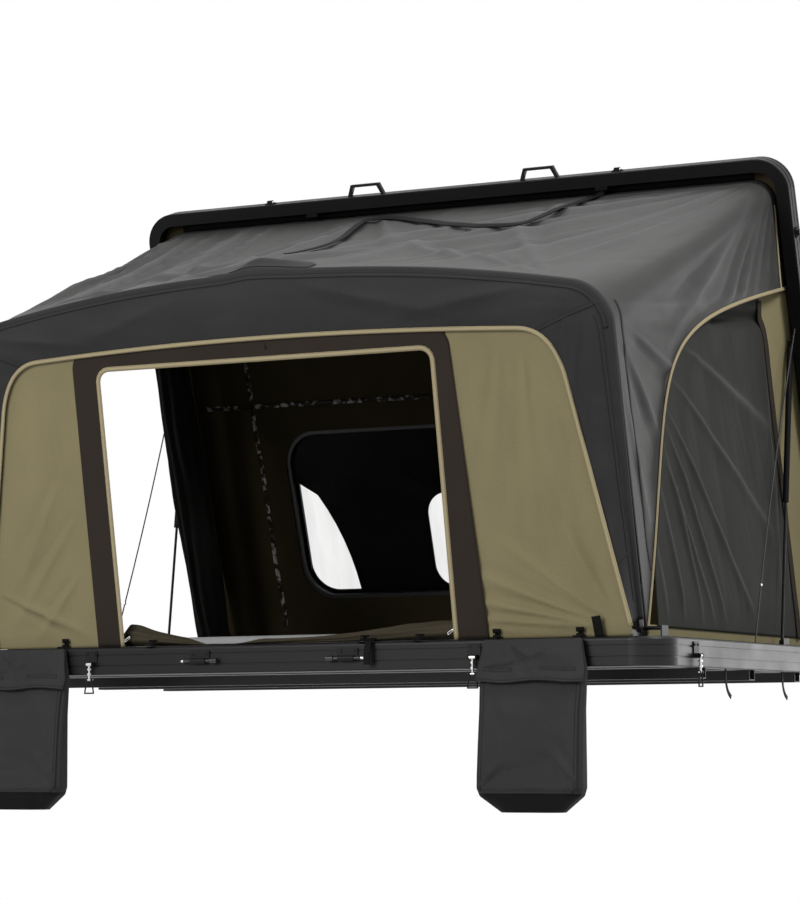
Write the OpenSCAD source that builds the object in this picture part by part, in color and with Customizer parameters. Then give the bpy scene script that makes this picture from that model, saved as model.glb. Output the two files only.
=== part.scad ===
// Side-opening hard-shell roof top tent, standing open.
// X runs along the shell, -Y is the door side, +Y is the hinge side, Z is up.
// The origin is the middle of the rack bolt pattern, on the underside of the mounting channels.

/* [Shell] */
// Length of the shell along the vehicle
shell_l = 2100; // [1900:10:2400]
// Width of the shell from the door side to the hinge side
shell_w = 1440; // [1300:10:1600]
// Outer radius of the four corner castings
corner_r = 95; // [80:1:130]
// Width of the rail extrusion
rail_t = 38; // [34:1:46]
// Height of the base rails
base_h = 75; // [68:1:95]
// Height of the lid rails
lid_h = 66; // [60:1:85]
// Wall of the hollow rails
rail_wall = 3; // [2:0.5:4]
// Depth of the two grooves in a rail
groove_d = 3; // [1.5:0.5:4]
// Height of one groove
groove_h = 5; // [3:0.5:8]
// Gap between the closed lid and the base
seal_gap = 0.6; // [0.4:0.1:1.5]

/* [Panels] */
// Thickness of the sandwich floor
floor_t = 22; // [15:1:30]
// Thickness of the sandwich lid panel
panel_t = 20; // [12:1:24]
// Reach of the rail ledge that carries a panel
ledge_w = 18; // [12:1:24]
// Thickness of that ledge
ledge_t = 3; // [2:0.5:4]
// Gap all round a panel in its rails
panel_gap = 0.3; // [0.2:0.1:1]

/* [Mounting channels] */
// Height of the channels under the floor
channel_h = 27; // [20:1:40]
// Width of a channel
channel_w = 44; // [36:1:60]
// Wall of a channel
channel_wall = 3; // [2:0.5:4]
// Distance between neighbouring channels
channel_pitch = 380; // [300:10:420]
// How far a channel stops short of the shell's end
channel_inset = 25; // [10:1:60]
// Radius of a rack bolt slot
slot_r = 4.5; // [3.5:0.25:6]
// Overall length of a rack bolt slot
slot_len = 60; // [30:1:90]
// Distance between the slots of one channel
slot_pitch = 1000; // [800:10:1200]

/* [Hinge] */
// Angle that the lid stands open
lid_open = 72; // [60:1:80]
// Distance of the hinge pin from the rail face
hinge_out = 8; // [7.5:0.25:10]
// Length of one hinge
hinge_l = 120; // [80:5:160]
// Distance between neighbouring hinges
hinge_pitch = 700; // [500:10:800]
// Radius of a hinge knuckle
knuckle_r = 6.5; // [6:0.1:7]
// Radius of a hinge pin
hinge_pin_r = 3.5; // [2.5:0.1:4]
// Height of a hinge leaf
leaf_h = 42; // [30:1:50]
// Thickness of a hinge leaf
leaf_t = 3; // [2:0.5:4]

/* [Gas struts] */
// Distance of the lower ball stud from the hinge pin
strut_base_w = 393; // [340:1:440]
// Distance of the upper ball stud from the hinge pin
strut_lid_w = 907; // [860:1:940]
// Height of both studs above the closed joint line
stud_up = 9; // [6:1:12]
// Diameter of the strut tube
strut_tube_d = 18; // [14:1:18]
// Diameter of the strut rod
strut_rod_d = 8; // [6:1:9]
// Length of the strut tube with its eye
strut_tube_l = 462; // [440:1:470]

/* [Hoop] */
// Diameter of the hoop tube
hoop_d = 19; // [16:1:22]
// Distance of the hoop legs from the end rails
hoop_inset = 62; // [54:1:68]
// Height of the hoop from its foot pins to the leg tops
hoop_leg = 772; // [650:1:860]
// Radius of the hoop's upper corners
hoop_corner_r = 112; // [80:1:160]
// Radius of the arched top of the hoop
hoop_crown_r = 4500; // [3500:50:9000]
// Outward lean of the hoop
hoop_lean = 13.5; // [8:0.5:18]
// Distance of the foot pins behind the door side
hoop_back = 96; // [70:1:140]
// Height of the foot pins above the base rail
hoop_up = 22; // [18:1:26]

/* [Canopy] */
// Thickness of the canopy cloth
cloth_t = 2; // [1.5:0.1:3]
// Gap between the hoop and the cloth over it
hoop_gap = 1.2; // [1:0.1:4]
// Droop of the roof between hoop and lid
roof_sag = 26; // [0:1:50]
// Height of the largest tension fold in the roof
fold_h = 20; // [0:1:24]
// Height of the side arch over its foot
arch_h = 1012; // [900:2:1050]
// Distance of the arch foot behind the door side
arch_back = 110; // [100:1:140]

/* [Front wall] */
// Set-back of the front wall at the base rail
front_set = 26; // [10:1:50]
// Outward lean of the front wall
front_lean = 10.5; // [6:0.5:14]
// Height of the piping over the door
piping_z = 900; // [800:5:920]
// Shift of the doorway from the middle
door_shift = -28; // [-60:2:60]
// Width of the doorway
door_w = 1000; // [700:10:1080]
// Height of the doorway top
door_top = 846; // [700:2:860]
// Width of the zip band round the doorway
band_w = 78; // [50:1:90]
// Depth of the hanging folds in the front wall
wall_fold = 7; // [0:1:14]

/* [Rear window] */
// Width of the rear window
window_w = 1390; // [900:10:1500]
// Height of the rear window
window_h = 520; // [300:10:600]
// Distance of the window from the hinge pin
window_low = 195; // [150:5:300]
// Corner radius of the window
window_r = 100; // [40:5:140]
// Width of the window trim
trim_w = 24; // [15:1:35]

/* [Mattress] */
// Thickness of the mattress at its edge
mattress_t = 50; // [30:1:52]
// Height of its crown
mattress_crown = 7; // [2:1:8]
// Gap between the mattress and the rails at the ends
mattress_end = 105; // [100:1:200]
// Gap between the mattress and the long rails
mattress_side = 30; // [20:1:80]

/* [Fittings] */
// Shift of the front latches from the middle
latch_shift = -40; // [-50:2:50]
// Distance of the front latches from their middle
latch_half = 573; // [480:1:576]
// Distance of the end latches from the door side
latch_end = 222; // [160:1:400]
// Distance of the lid handles from the middle
handle_half = 285; // [200:5:400]
// Length of a lid handle over its feet
handle_l = 122; // [90:1:160]
// Height of a lid handle
handle_h = 34; // [28:1:50]
// Shift of the ladder brackets from the middle
ladder_shift = -52; // [-80:2:80]
// Distance of the ladder brackets from their middle
ladder_half = 222; // [180:1:260]
// Radius of a ladder pin
ladder_pin_r = 4; // [3:0.25:5]
// Running clearance of every pin in its bore
pin_gap = 0.05; // [0.03:0.01:0.1]

/* [Storage bags] */
// Shift of the pair of bags from the middle
bag_shift = -60; // [-70:2:70]
// Distance of the bags from their middle
bag_half = 763; // [758:1:775]
// Width of a bag
bag_w = 290; // [200:5:300]
// Depth that a bag hangs below the channels
bag_drop = 336; // [200:2:420]
// Thickness of a bag at its fullest
bag_t = 62; // [40:1:90]

/* [Hidden] */
$fn = 64;

// Heights and the hinge line
base_z = channel_h;
base_top = base_z + base_h;
floor_top = base_z + ledge_t + floor_t;
hinge_y = shell_w / 2 + hinge_out;
hinge_z = base_top;
end_face = shell_l / 2;
side_face = shell_w / 2;
end_inner = end_face - rail_t;
side_inner = side_face - rail_t;
lid_inner_w = hinge_y + side_inner;
hoop_half = end_inner - hoop_inset;
panel_under = seal_gap + lid_h - panel_t;
seat_gap = 0.4;
lining_up = panel_under - ledge_t - seat_gap - cloth_t;

// Small features
edge_r = 3;
shell_edge_r = 9;
screw_r = 3;
screw_h = 2.2;

// Colours
rail_grey = [0.11, 0.11, 0.115];
black = [0.03, 0.03, 0.032];
steel = [0.62, 0.62, 0.63];
fly_grey = [0.16, 0.165, 0.165];
tan_canvas = [0.45, 0.4, 0.28];
zip_brown = [0.1, 0.085, 0.08];
foam_grey = [0.6, 0.6, 0.6];

function lerp(a, b, t) = a + (b - a) * t;
function unit(v) = v / max(norm(v), 1e-9);
function arc(c, r, a0, a1, n = 8) =
  [for (i = [0:n]) let (a = lerp(a0, a1, i / n)) c + r * [cos(a), sin(a)]];
function bezier(a, b, c, t) = (1 - t) * (1 - t) * a + 2 * t * (1 - t) * b + t * t * c;
function smooth(t) = t * t * (3 - 2 * t);

// A point on the open lid: x along the shell, w away from the hinge pin, h above the closed joint line
function lid_pt(x, w, h) = [x,
  hinge_y - w * cos(lid_open) + h * sin(lid_open),
  hinge_z + w * sin(lid_open) + h * cos(lid_open)];

module on_lid() {
  translate([0, hinge_y, hinge_z]) rotate([-lid_open, 0, 0]) translate([0, -hinge_y, -hinge_z]) children();
}

// A straight round bar between two points
module bar(a, b, r) {
  d = b - a;
  l = norm(d);
  translate(a) rotate([0, acos(d.z / l), atan2(d.y, d.x)]) cylinder(h = l, r = r);
}

module rounded_rect(l, w, r) {
  square([l - 2 * r, w], center = true);
  square([l, w - 2 * r], center = true);
  for (sx = [-1, 1], sy = [-1, 1]) translate([sx * (l / 2 - r), sy * (w / 2 - r)]) circle(r);
}

// A closed cloth sheet on a grid of points, half its thickness to each side
function grid_normal(g, i, j) = unit(cross(
  g[min(i + 1, len(g) - 1)][j] - g[max(i - 1, 0)][j],
  g[i][min(j + 1, len(g[0]) - 1)] - g[i][max(j - 1, 0)]));

module sheet(g, t = cloth_t) {
  rows = len(g);
  cols = len(g[0]);
  side = rows * cols;
  pts = [for (s = [0.5, -0.5], i = [0:rows - 1], j = [0:cols - 1]) g[i][j] + s * t * grid_normal(g, i, j)];
  rim = concat(
    [for (j = [0:cols - 1]) j],
    [for (i = [1:rows - 1]) i * cols + cols - 1],
    [for (j = [cols - 2:-1:0]) (rows - 1) * cols + j],
    [for (i = [rows - 2:-1:1]) i * cols]);
  top = [for (i = [0:rows - 2], j = [0:cols - 2], k = [0, 1])
    let (a = i * cols + j, b = a + 1, c = a + cols, d = c + 1) k == 0 ? [a, b, d] : [a, d, c]];
  low = [for (f = top) [f[0] + side, f[2] + side, f[1] + side]];
  wall = [for (i = [0:len(rim) - 1], k = [0, 1])
    let (a = rim[i], b = rim[(i + 1) % len(rim)]) k == 0 ? [a, a + side, b] : [b, a + side, b + side]];
  polyhedron(pts, concat(top, low, wall));
}

// A solid lofted through closed rings of equal count, each convex
module loft(rings) {
  n = len(rings[0]);
  m = len(rings);
  pts = [for (r = rings) each r];
  wall = [for (i = [0:m - 2], j = [0:n - 1], k = [0, 1])
    let (a = i * n + j, b = i * n + (j + 1) % n, c = a + n, d = b + n) k == 0 ? [a, c, d] : [a, d, b]];
  low = [for (j = [1:n - 2]) [0, j, j + 1]];
  high = [for (j = [1:n - 2]) [(m - 1) * n, (m - 1) * n + j + 1, (m - 1) * n + j]];
  polyhedron(pts, concat(wall, low, high));
}

// Rings round a route: a round or flat section carried along the points
function route_ring(p, i, rx, ry, up, sides) =
  let (d = unit(p[min(i + 1, len(p) - 1)] - p[max(i - 1, 0)]),
    a = unit(cross(up, d)),
    b = cross(d, a))
  [for (k = [0:sides - 1]) let (q = 360 * k / sides) p[i] + a * rx * cos(q) + b * ry * sin(q)];

module route_tube(p, rx, ry, up, sides) {
  loft([for (i = [0:len(p) - 1]) route_ring(p, i, rx, ry, up, sides)]);
}

// Rail extrusion: u outward from the inner face, v up
function groove(v) = [[rail_t, v - groove_h / 2], [rail_t - groove_d, v - groove_h / 2],
  [rail_t - groove_d, v + groove_h / 2], [rail_t, v + groove_h / 2]];

module rail_section(h, ledge_v) {
  difference() {
    polygon(concat([[0, 0]], arc([rail_t - edge_r, edge_r], edge_r, -90, 0, 3), groove(h * 0.32),
      groove(h * 0.7), arc([rail_t - shell_edge_r, h - shell_edge_r], shell_edge_r, 0, 90, 6), [[0, h]]));
    translate([rail_wall, rail_wall]) square([rail_t - 2 * rail_wall - groove_d, h - 2 * rail_wall]);
  }
  translate([-ledge_w, ledge_v]) square([ledge_w + rail_wall / 2, ledge_t]);
}

// Edges are numbered by their turn about Z: 0 far, 90 left, 180 near, 270 right
function edge_len(s) = (s % 180 == 0 ? shell_l : shell_w) - 2 * corner_r;
function edge_face(s) = s % 180 == 0 ? side_face : end_face;

module rail(s, h, ledge_v) {
  rotate([0, 0, s]) translate([-edge_len(s) / 2, edge_face(s) - rail_t, 0])
    rotate([90, 0, 90]) linear_extrude(edge_len(s)) rail_section(h, ledge_v);
}

module corners(h, ledge_v) {
  for (c = [[1, 1, 0], [-1, 1, 90], [-1, -1, 180], [1, -1, 270]])
    translate([c.x * (end_face - corner_r), c.y * (side_face - corner_r), 0]) rotate([0, 0, c.z])
      rotate_extrude(angle = 90) translate([corner_r - rail_t, 0]) rail_section(h, ledge_v);
}

// Carries a fitting on an edge: local x along the rail, y out of its face
module at_edge(s, along) {
  rotate([0, 0, s]) translate([along, edge_face(s), 0]) children();
}

module base_rail(s) {
  color(rail_grey) translate([0, 0, base_z]) rail(s, base_h, 0);
}

module base_rail_near() { base_rail(180); }
module base_rail_far() { base_rail(0); }
module base_rail_left() { base_rail(90); }
module base_rail_right() { base_rail(270); }

module base_corners() {
  color(rail_grey) translate([0, 0, base_z]) corners(base_h, 0);
}

module base_floor() {
  color(black) translate([0, 0, base_z + ledge_t]) linear_extrude(floor_t)
    rounded_rect(2 * (end_inner - panel_gap), 2 * (side_inner - panel_gap), corner_r - rail_t - panel_gap);
}

// Three folded channels under the floor; the outer two have slots for the rack bolts
module mount_channel(y, slotted) {
  l = 2 * (end_face - channel_inset);
  translate([0, y, 0]) difference() {
    translate([-l / 2, -channel_w / 2, 0]) cube([l, channel_w, channel_h]);
    translate([-l / 2 - 1, -channel_w / 2 + channel_wall, channel_wall])
      cube([l + 2, channel_w - 2 * channel_wall, channel_h]);
    if (slotted)
      for (sx = [-1, 1]) translate([sx * slot_pitch / 2, 0, -1]) linear_extrude(channel_wall + 2) {
        square([slot_len - 2 * slot_r, 2 * slot_r], center = true);
        for (k = [-1, 1]) translate([k * (slot_len / 2 - slot_r), 0]) circle(slot_r);
      }
  }
}

module mount_channels() {
  color(black) for (k = [-1:1]) mount_channel(k * channel_pitch, k != 0);
}

// The foam mattress: a crowned top and sides drawn in at half height
module mattress() {
  hx = end_inner - mattress_end;
  hy = side_inner - mattress_side;
  rows = [[0, 14, 0], [0.12, 3, 0], [0.5, 7, 0], [0.88, 3, 0], [1, 14, 0], [1, 90, 0.6], [1, 260, 1]];
  function ring(f) = [for (c = [[1, 1, 0], [-1, 1, 90], [-1, -1, 180], [1, -1, 270]], k = [0:5])
    let (r = 60, a = c.z + 18 * k)
    [c.x * (hx - f[1] - r) + r * cos(a), c.y * (hy - f[1] - r) + r * sin(a),
      floor_top + f[0] * mattress_t + f[2] * mattress_crown]];
  color(foam_grey) loft([for (f = rows) ring(f)]);
}

// Hinge halves: the base carries the outer knuckles, the lid the middle one
module hinge_half(x, z0, outer) {
  third = hinge_l / 3;
  knuckle_gap = 0.4;
  spans = outer ? [[-1.5, -0.5], [0.5, 1.5]] : [[-0.5, 0.5]];
  others = outer ? [[-0.5, 0.5]] : [[-1.5, -0.5], [0.5, 1.5]];
  translate([x, 0, 0]) difference() {
    union() {
      translate([-hinge_l / 2, side_face, z0]) cube([hinge_l, leaf_t, leaf_h]);
      for (s = spans) translate([s[0] * third + knuckle_gap / 2, hinge_y, hinge_z]) rotate([0, 90, 0])
        cylinder(h = third - knuckle_gap, r = knuckle_r);
      for (sx = [-1, 1], sz = [0.3, 0.7])
        translate([sx * hinge_l * 0.35, side_face + leaf_t, z0 + sz * leaf_h]) rotate([-90, 0, 0])
          cylinder(h = screw_h, r = screw_r);
    }
    for (s = others) translate([s[0] * third - knuckle_gap / 2, hinge_y, hinge_z]) rotate([0, 90, 0])
      cylinder(h = third + knuckle_gap, r = knuckle_r + 0.8);
    translate([-hinge_l, hinge_y, hinge_z]) rotate([0, 90, 0])
      cylinder(h = 2 * hinge_l, r = hinge_pin_r + pin_gap);
  }
}

module base_hinge_leaves() {
  color(black) for (k = [-1:1]) hinge_half(k * hinge_pitch, hinge_z - leaf_h, true);
}

module lid_hinge_leaves() {
  color(black) on_lid() for (k = [-1:1]) hinge_half(k * hinge_pitch, hinge_z + seal_gap, false);
}

module hinge_pins() {
  color(steel) for (k = [-1:1]) translate([k * hinge_pitch - hinge_l / 2 - 2, hinge_y, hinge_z])
    rotate([0, 90, 0]) cylinder(h = hinge_l + 4, r = hinge_pin_r);
}

// Draw latches: a plate with ears and pin, a swinging draw bolt and a loop that hooks the keeper
latch_pin_r = 2.5;
latch_pin_out = 13;
latch_pivot_z = base_z + 29;
latch_bolt_l = 42;
loop_l = 36;
loop_wire_r = 2;
lever_w = 16;
ear_t = 4;
// Edge and place along it of each latch: front left, front right, end left, end right
latch_spots = [[180, latch_half - latch_shift], [180, -latch_half - latch_shift],
  [90, latch_end - side_face], [270, side_face - latch_end]];

module latch_plate() {
  ear_in = lever_w / 2 + 0.5;
  translate([-18, 0, latch_pivot_z - 6]) cube([36, 3, base_top - latch_pivot_z - 4]);
  for (sx = [-1, 1]) {
    translate([sx * (ear_in + ear_t / 2) - ear_t / 2, 0, latch_pivot_z - 6])
      cube([ear_t, latch_pin_out, 12]);
    translate([sx * (ear_in + ear_t / 2) - ear_t / 2, latch_pin_out, latch_pivot_z]) rotate([0, 90, 0])
      cylinder(h = ear_t, r = 6);
    translate([sx * 12, 3, base_top - 18]) rotate([-90, 0, 0]) cylinder(h = screw_h, r = screw_r);
  }
  translate([-ear_in - ear_t, latch_pin_out, latch_pivot_z]) rotate([0, 90, 0])
    cylinder(h = 2 * (ear_in + ear_t), r = latch_pin_r);
}

module latch_lever() {
  foot_z = latch_pivot_z - latch_bolt_l;
  translate([0, latch_pin_out, 0]) {
    difference() {
      translate([-lever_w / 2, 0, latch_pivot_z]) rotate([0, 90, 0]) cylinder(h = lever_w, r = 5);
      translate([-lever_w, 0, latch_pivot_z]) rotate([0, 90, 0])
        cylinder(h = 2 * lever_w, r = latch_pin_r + pin_gap);
    }
    translate([0, 0, foot_z]) cylinder(h = latch_bolt_l - 3.5, r = 3);
    for (f = [0.3, 0.62]) translate([0, 0, lerp(foot_z, latch_pivot_z, f)])
      cylinder(h = 5, r = 5.5, $fn = 6);
    translate([-12, 0, foot_z]) rotate([0, 90, 0]) cylinder(h = 24, r = latch_pin_r);
  }
}

module latch_bail() {
  top_z = latch_pivot_z - latch_bolt_l;
  eye = [[-8.5, latch_pin_out, top_z], [8.5, latch_pin_out, top_z]];
  low = [[-14, latch_pin_out, top_z - loop_l], [14, latch_pin_out, top_z - loop_l]];
  difference() {
    union() {
      for (k = [0, 1]) {
        translate(eye[k] - [2.5, 0, 0]) rotate([0, 90, 0]) cylinder(h = 5, r = 4.5);
        bar(eye[k] - [0, 0, 3.5], low[k], loop_wire_r);
        translate(low[k]) sphere(loop_wire_r);
      }
      bar(low[0], low[1], loop_wire_r);
    }
    translate([-20, latch_pin_out, top_z]) rotate([0, 90, 0]) cylinder(h = 40, r = latch_pin_r + pin_gap);
  }
}

module latch_keeper() {
  keeper_z = base_top + seal_gap + 14;
  translate([-15, 0, keeper_z]) cube([30, 3, 22]);
  translate([-8, 0, keeper_z + 4]) cube([16, 11, 4]);
  translate([-8, 8, keeper_z + 4]) cube([16, 3, 12]);
  for (sx = [-1, 1]) translate([sx * 11.4, 3, keeper_z + 12]) rotate([-90, 0, 0])
    cylinder(h = screw_h, r = screw_r);
}

module latch_plates() {
  color(black) for (p = latch_spots) at_edge(p[0], p[1]) latch_plate();
}

module latch_keepers() {
  color(black) on_lid() for (p = latch_spots) at_edge(p[0], p[1]) latch_keeper();
}

module lever_at(k) {
  color(steel) at_edge(latch_spots[k][0], latch_spots[k][1]) latch_lever();
}

module bail_at(k) {
  color(black) at_edge(latch_spots[k][0], latch_spots[k][1]) latch_bail();
}

module latch_lever_front_left() { lever_at(0); }
module latch_lever_front_right() { lever_at(1); }
module latch_lever_end_left() { lever_at(2); }
module latch_lever_end_right() { lever_at(3); }
module latch_bail_front_left() { bail_at(0); }
module latch_bail_front_right() { bail_at(1); }
module latch_bail_end_left() { bail_at(2); }
module latch_bail_end_right() { bail_at(3); }

// Ladder brackets: a screwed plate with a sleeve, and a sprung pin that slides in it
ladder_z = base_z + 33;
ladder_out = 11;
sleeve_r = ladder_pin_r + 3;
sleeve_l = 46;
pin_grip_l = 20;
pin_nose_l = 26;

module ladder_bracket() {
  difference() {
    union() {
      translate([-30, 0, ladder_z - 5]) cube([60, 4, 32]);
      for (sx = [-1, 1]) translate([sx * 20, 4, ladder_z + 19]) rotate([-90, 0, 0])
        cylinder(h = screw_h, r = screw_r + 1);
      translate([-sleeve_l / 2, 0, ladder_z - sleeve_r]) cube([sleeve_l, ladder_out, 2 * sleeve_r]);
      translate([-sleeve_l / 2, ladder_out, ladder_z]) rotate([0, 90, 0])
        cylinder(h = sleeve_l, r = sleeve_r);
    }
    translate([-sleeve_l, ladder_out, ladder_z]) rotate([0, 90, 0])
      cylinder(h = 2 * sleeve_l, r = ladder_pin_r + pin_gap);
  }
}

// The pin points away from the middle: sx is its side
module ladder_pin(sx) {
  travel = 15;
  translate([0, -ladder_out - side_face, ladder_z]) {
    x0 = ladder_shift + sx * (ladder_half - sleeve_l / 2 - travel - pin_grip_l);
    x1 = ladder_shift + sx * (ladder_half + sleeve_l / 2 + pin_nose_l);
    bar([x0, 0, 0], [x1, 0, 0], ladder_pin_r);
    translate([x1, 0, 0]) sphere(ladder_pin_r);
    bar([x0, 0, 0], [x0 + sx * pin_grip_l, 0, 0], sleeve_r);
  }
}

module ladder_brackets() {
  color(black) for (sx = [-1, 1]) at_edge(180, -(ladder_shift + sx * ladder_half)) ladder_bracket();
}

module ladder_pin_left() { color(steel) ladder_pin(-1); }
module ladder_pin_right() { color(steel) ladder_pin(1); }

// Storage bags: flat at the top where they hang on the rail, full at the bottom
bag_off = 3.3;

module bag(sx) {
  x = bag_shift + sx * bag_half;
  hw = bag_w / 2;
  // Height, half width and thickness of each ring
  rows = [
    [base_top - 4, hw - 3, 9],
    [base_z + 20, hw, 15],
    [-20, hw, 24],
    [-0.35 * bag_drop, hw + 3, 0.72 * bag_t],
    [-0.7 * bag_drop, hw + 4, 0.97 * bag_t],
    [-0.86 * bag_drop, hw, bag_t],
    [-0.95 * bag_drop, hw - 26, 0.86 * bag_t],
    [-bag_drop, hw - 62, 0.5 * bag_t]];
  function ring(f) =
    let (r = f[2] * 0.42, y = -side_face - bag_off - f[2] / 2)
    [for (c = [[1, 1, 0], [-1, 1, 90], [-1, -1, 180], [1, -1, 270]], k = [0:3])
      let (a = c.z + 30 * k)
      [x + c.x * (f[1] - r) + r * cos(a), y + c.y * (f[2] / 2 - r) + r * sin(a), f[0]]];
  color(black) loft([for (i = [len(rows) - 1:-1:0]) ring(rows[i])]);
}

module bag_left() { bag(-1); }
module bag_right() { bag(1); }

// Webbing loops that carry the bags over the lip of the near rail
module bag_straps() {
  loop_w = 22;
  loop_t = 2.5;
  loop_down = 30;
  loop_over = 16;
  y = -side_face - seat_gap - loop_t;
  color(black) for (sx = [-1, 1], k = [-1, 1])
    translate([bag_shift + sx * bag_half + k * (bag_w / 2 - loop_down) - loop_w / 2, y, base_top]) {
      translate([0, 0, -loop_down]) cube([loop_w, loop_t, loop_down + seat_gap]);
      translate([0, 0, seat_gap]) cube([loop_w, loop_over, loop_t]);
    }
}

// Gas struts: the rod turns on the base stud, the tube slides on the rod up to the lid stud
strut_x = end_inner - 15;
eye_l = 10;
tube_wall = 1.5;
eye_r = 8;
stud_r = 4;
plate_gap = 1;
plate_t = 4;
plate_in = end_inner - plate_gap - plate_t;
strut_foot = [0, hinge_y - strut_base_w, hinge_z + stud_up];
strut_head = lid_pt(0, strut_lid_w, stud_up);
strut_l = norm(strut_head - strut_foot);
strut_turn = atan2(strut_head.z - strut_foot.z, strut_head.y - strut_foot.y);
strut_cap_l = 12;
strut_piston_l = 8;
strut_rod_l = strut_l - strut_tube_l + strut_cap_l + strut_piston_l + 1;

module on_strut(sx) {
  translate([sx * strut_x, strut_foot.y, strut_foot.z]) rotate([strut_turn - 90, 0, 0]) children();
}

module strut_eye() {
  translate([-eye_l / 2, 0, 0]) rotate([0, 90, 0]) cylinder(h = eye_l, r = eye_r);
}

// The tube's ball socket reaches to the lid's stud plate and stops just short, where the linkage is open
module strut_socket(sx) {
  open_gap = 0.5;
  bar([-sx * eye_l / 2, 0, 0], [sx * (plate_in - open_gap - strut_x), 0, 0], eye_r);
}

module strut_rod(sx) {
  on_strut(sx) difference() {
    union() {
      strut_eye();
      cylinder(h = strut_rod_l, r = strut_rod_d / 2);
      translate([0, 0, strut_rod_l - strut_piston_l])
        cylinder(h = strut_piston_l, r = strut_tube_d / 2 - tube_wall - pin_gap);
    }
    translate([-eye_l, 0, 0]) rotate([0, 90, 0]) cylinder(h = 2 * eye_l, r = stud_r + pin_gap);
  }
}

module strut_tube(sx) {
  end_l = 20;
  on_strut(sx) translate([0, 0, strut_l]) {
    strut_socket(sx);
    difference() {
      translate([0, 0, -strut_tube_l]) cylinder(h = strut_tube_l - eye_r - 3, r = strut_tube_d / 2);
      translate([0, 0, strut_cap_l - strut_tube_l])
        cylinder(h = strut_tube_l - strut_cap_l - end_l, r = strut_tube_d / 2 - tube_wall);
      translate([0, 0, -strut_tube_l - 1]) cylinder(h = strut_cap_l + 2, r = strut_rod_d / 2 + pin_gap);
    }
    translate([0, 0, -eye_r - 4]) cylinder(h = 6, r = 5);
  }
}

module strut_rod_left() { color(steel) strut_rod(-1); }
module strut_rod_right() { color(steel) strut_rod(1); }
module strut_tube_left() { color(black) strut_tube(-1); }
module strut_tube_right() { color(black) strut_tube(1); }

// A stud plate stands just off the rail on two spacers
module stud_plate(y, low, high) {
  translate([plate_in, y - 24, low]) cube([plate_t, 48, high - low]);
  for (k = [-1, 1]) translate([plate_in + plate_t / 2, y + k * 15, low + 9]) rotate([0, 90, 0])
    cylinder(h = end_inner - plate_in - plate_t / 2, r = 5);
}

module strut_brackets_base() {
  stud_in = strut_x - eye_l / 2 - 2;
  color(steel) for (sx = [0, 1]) mirror([sx, 0, 0]) {
    stud_plate(strut_foot.y, base_top - 30, strut_foot.z + 11);
    bar([stud_in, strut_foot.y, strut_foot.z], [plate_in + 1, strut_foot.y, strut_foot.z], stud_r);
  }
}

module strut_brackets_lid() {
  color(steel) on_lid() for (sx = [0, 1]) mirror([sx, 0, 0])
    stud_plate(hinge_y - strut_lid_w, hinge_z + seal_gap + 1, hinge_z + 36);
}

// Hoop: legs, rolled corners and an arched top in one leaning plane, plugged together end to end
hoop_foot = [0, -side_face + hoop_back, base_top + hoop_up];
hoop_corner_x = hoop_half - hoop_corner_r;
hoop_alpha = asin(hoop_corner_x / (hoop_crown_r - hoop_corner_r));
hoop_crown_s = hoop_leg - (hoop_crown_r - hoop_corner_r) * cos(hoop_alpha);
hoop_pin_r = 4;
hoop_joint = 0.2;

module in_hoop_plane() {
  translate(hoop_foot) rotate([hoop_lean, 0, 0]) children();
}

module hoop() {
  r = hoop_d / 2;
  eye_w = 14;
  bend_gap = hoop_joint / hoop_corner_r * 180 / PI;
  color(rail_grey) in_hoop_plane() {
    for (sx = [0, 1]) mirror([sx, 0, 0]) {
      difference() {
        union() {
          translate([hoop_half, 0, 0]) cylinder(h = hoop_leg - hoop_joint, r = r);
          translate([hoop_half - eye_w / 2, 0, 0]) rotate([0, 90, 0]) cylinder(h = eye_w, r = r);
        }
        translate([hoop_half - hoop_d, 0, 0]) rotate([0, 90, 0])
          cylinder(h = 2 * hoop_d, r = hoop_pin_r + pin_gap);
      }
      translate([hoop_corner_x, 0, hoop_leg]) rotate([90, 0, 0])
        rotate_extrude(angle = 90 - hoop_alpha - bend_gap) translate([hoop_corner_r, 0]) circle(r);
    }
    translate([0, 0, hoop_crown_s]) rotate([90, 0, 0]) rotate([0, 0, 90 - hoop_alpha])
      rotate_extrude(angle = 2 * hoop_alpha, $fn = 96) translate([hoop_crown_r, 0]) circle(r);
  }
}

module hoop_brackets() {
  low = base_top - 34;
  boss_r = hoop_pin_r + 1;
  color(black) for (sx = [0, 1]) mirror([sx, 0, 0]) {
    translate([plate_in, hoop_foot.y - boss_r - 2, low]) cube([plate_t, 44, hoop_foot.z + boss_r + 2 - low]);
    for (k = [10, 28]) translate([plate_in + plate_t / 2, hoop_foot.y + k, low + 9]) rotate([0, 90, 0])
      cylinder(h = end_inner - plate_in - plate_t / 2, r = 4);
    bar(hoop_foot + [hoop_half - hoop_d / 2 - 2, 0, 0], hoop_foot + [plate_in + 1, 0, 0], hoop_pin_r);
    bar(hoop_foot + [hoop_half + hoop_d / 2 + 1, 0, 0], hoop_foot + [plate_in + 1, 0, 0], boss_r);
  }
}

// Lid shell
module lid_rail(s) {
  color(rail_grey) on_lid() translate([0, 0, base_top + seal_gap]) rail(s, lid_h, lid_h - panel_t - ledge_t);
}

module lid_rail_near() { lid_rail(180); }
module lid_rail_far() { lid_rail(0); }
module lid_rail_left() { lid_rail(90); }
module lid_rail_right() { lid_rail(270); }

module lid_corners() {
  color(rail_grey) on_lid() translate([0, 0, base_top + seal_gap]) corners(lid_h, lid_h - panel_t - ledge_t);
}

module window_outline(grow = 0) {
  translate([0, hinge_y - window_low - window_h / 2])
    rounded_rect(window_w + 2 * grow, window_h + 2 * grow, window_r + grow);
}

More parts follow.
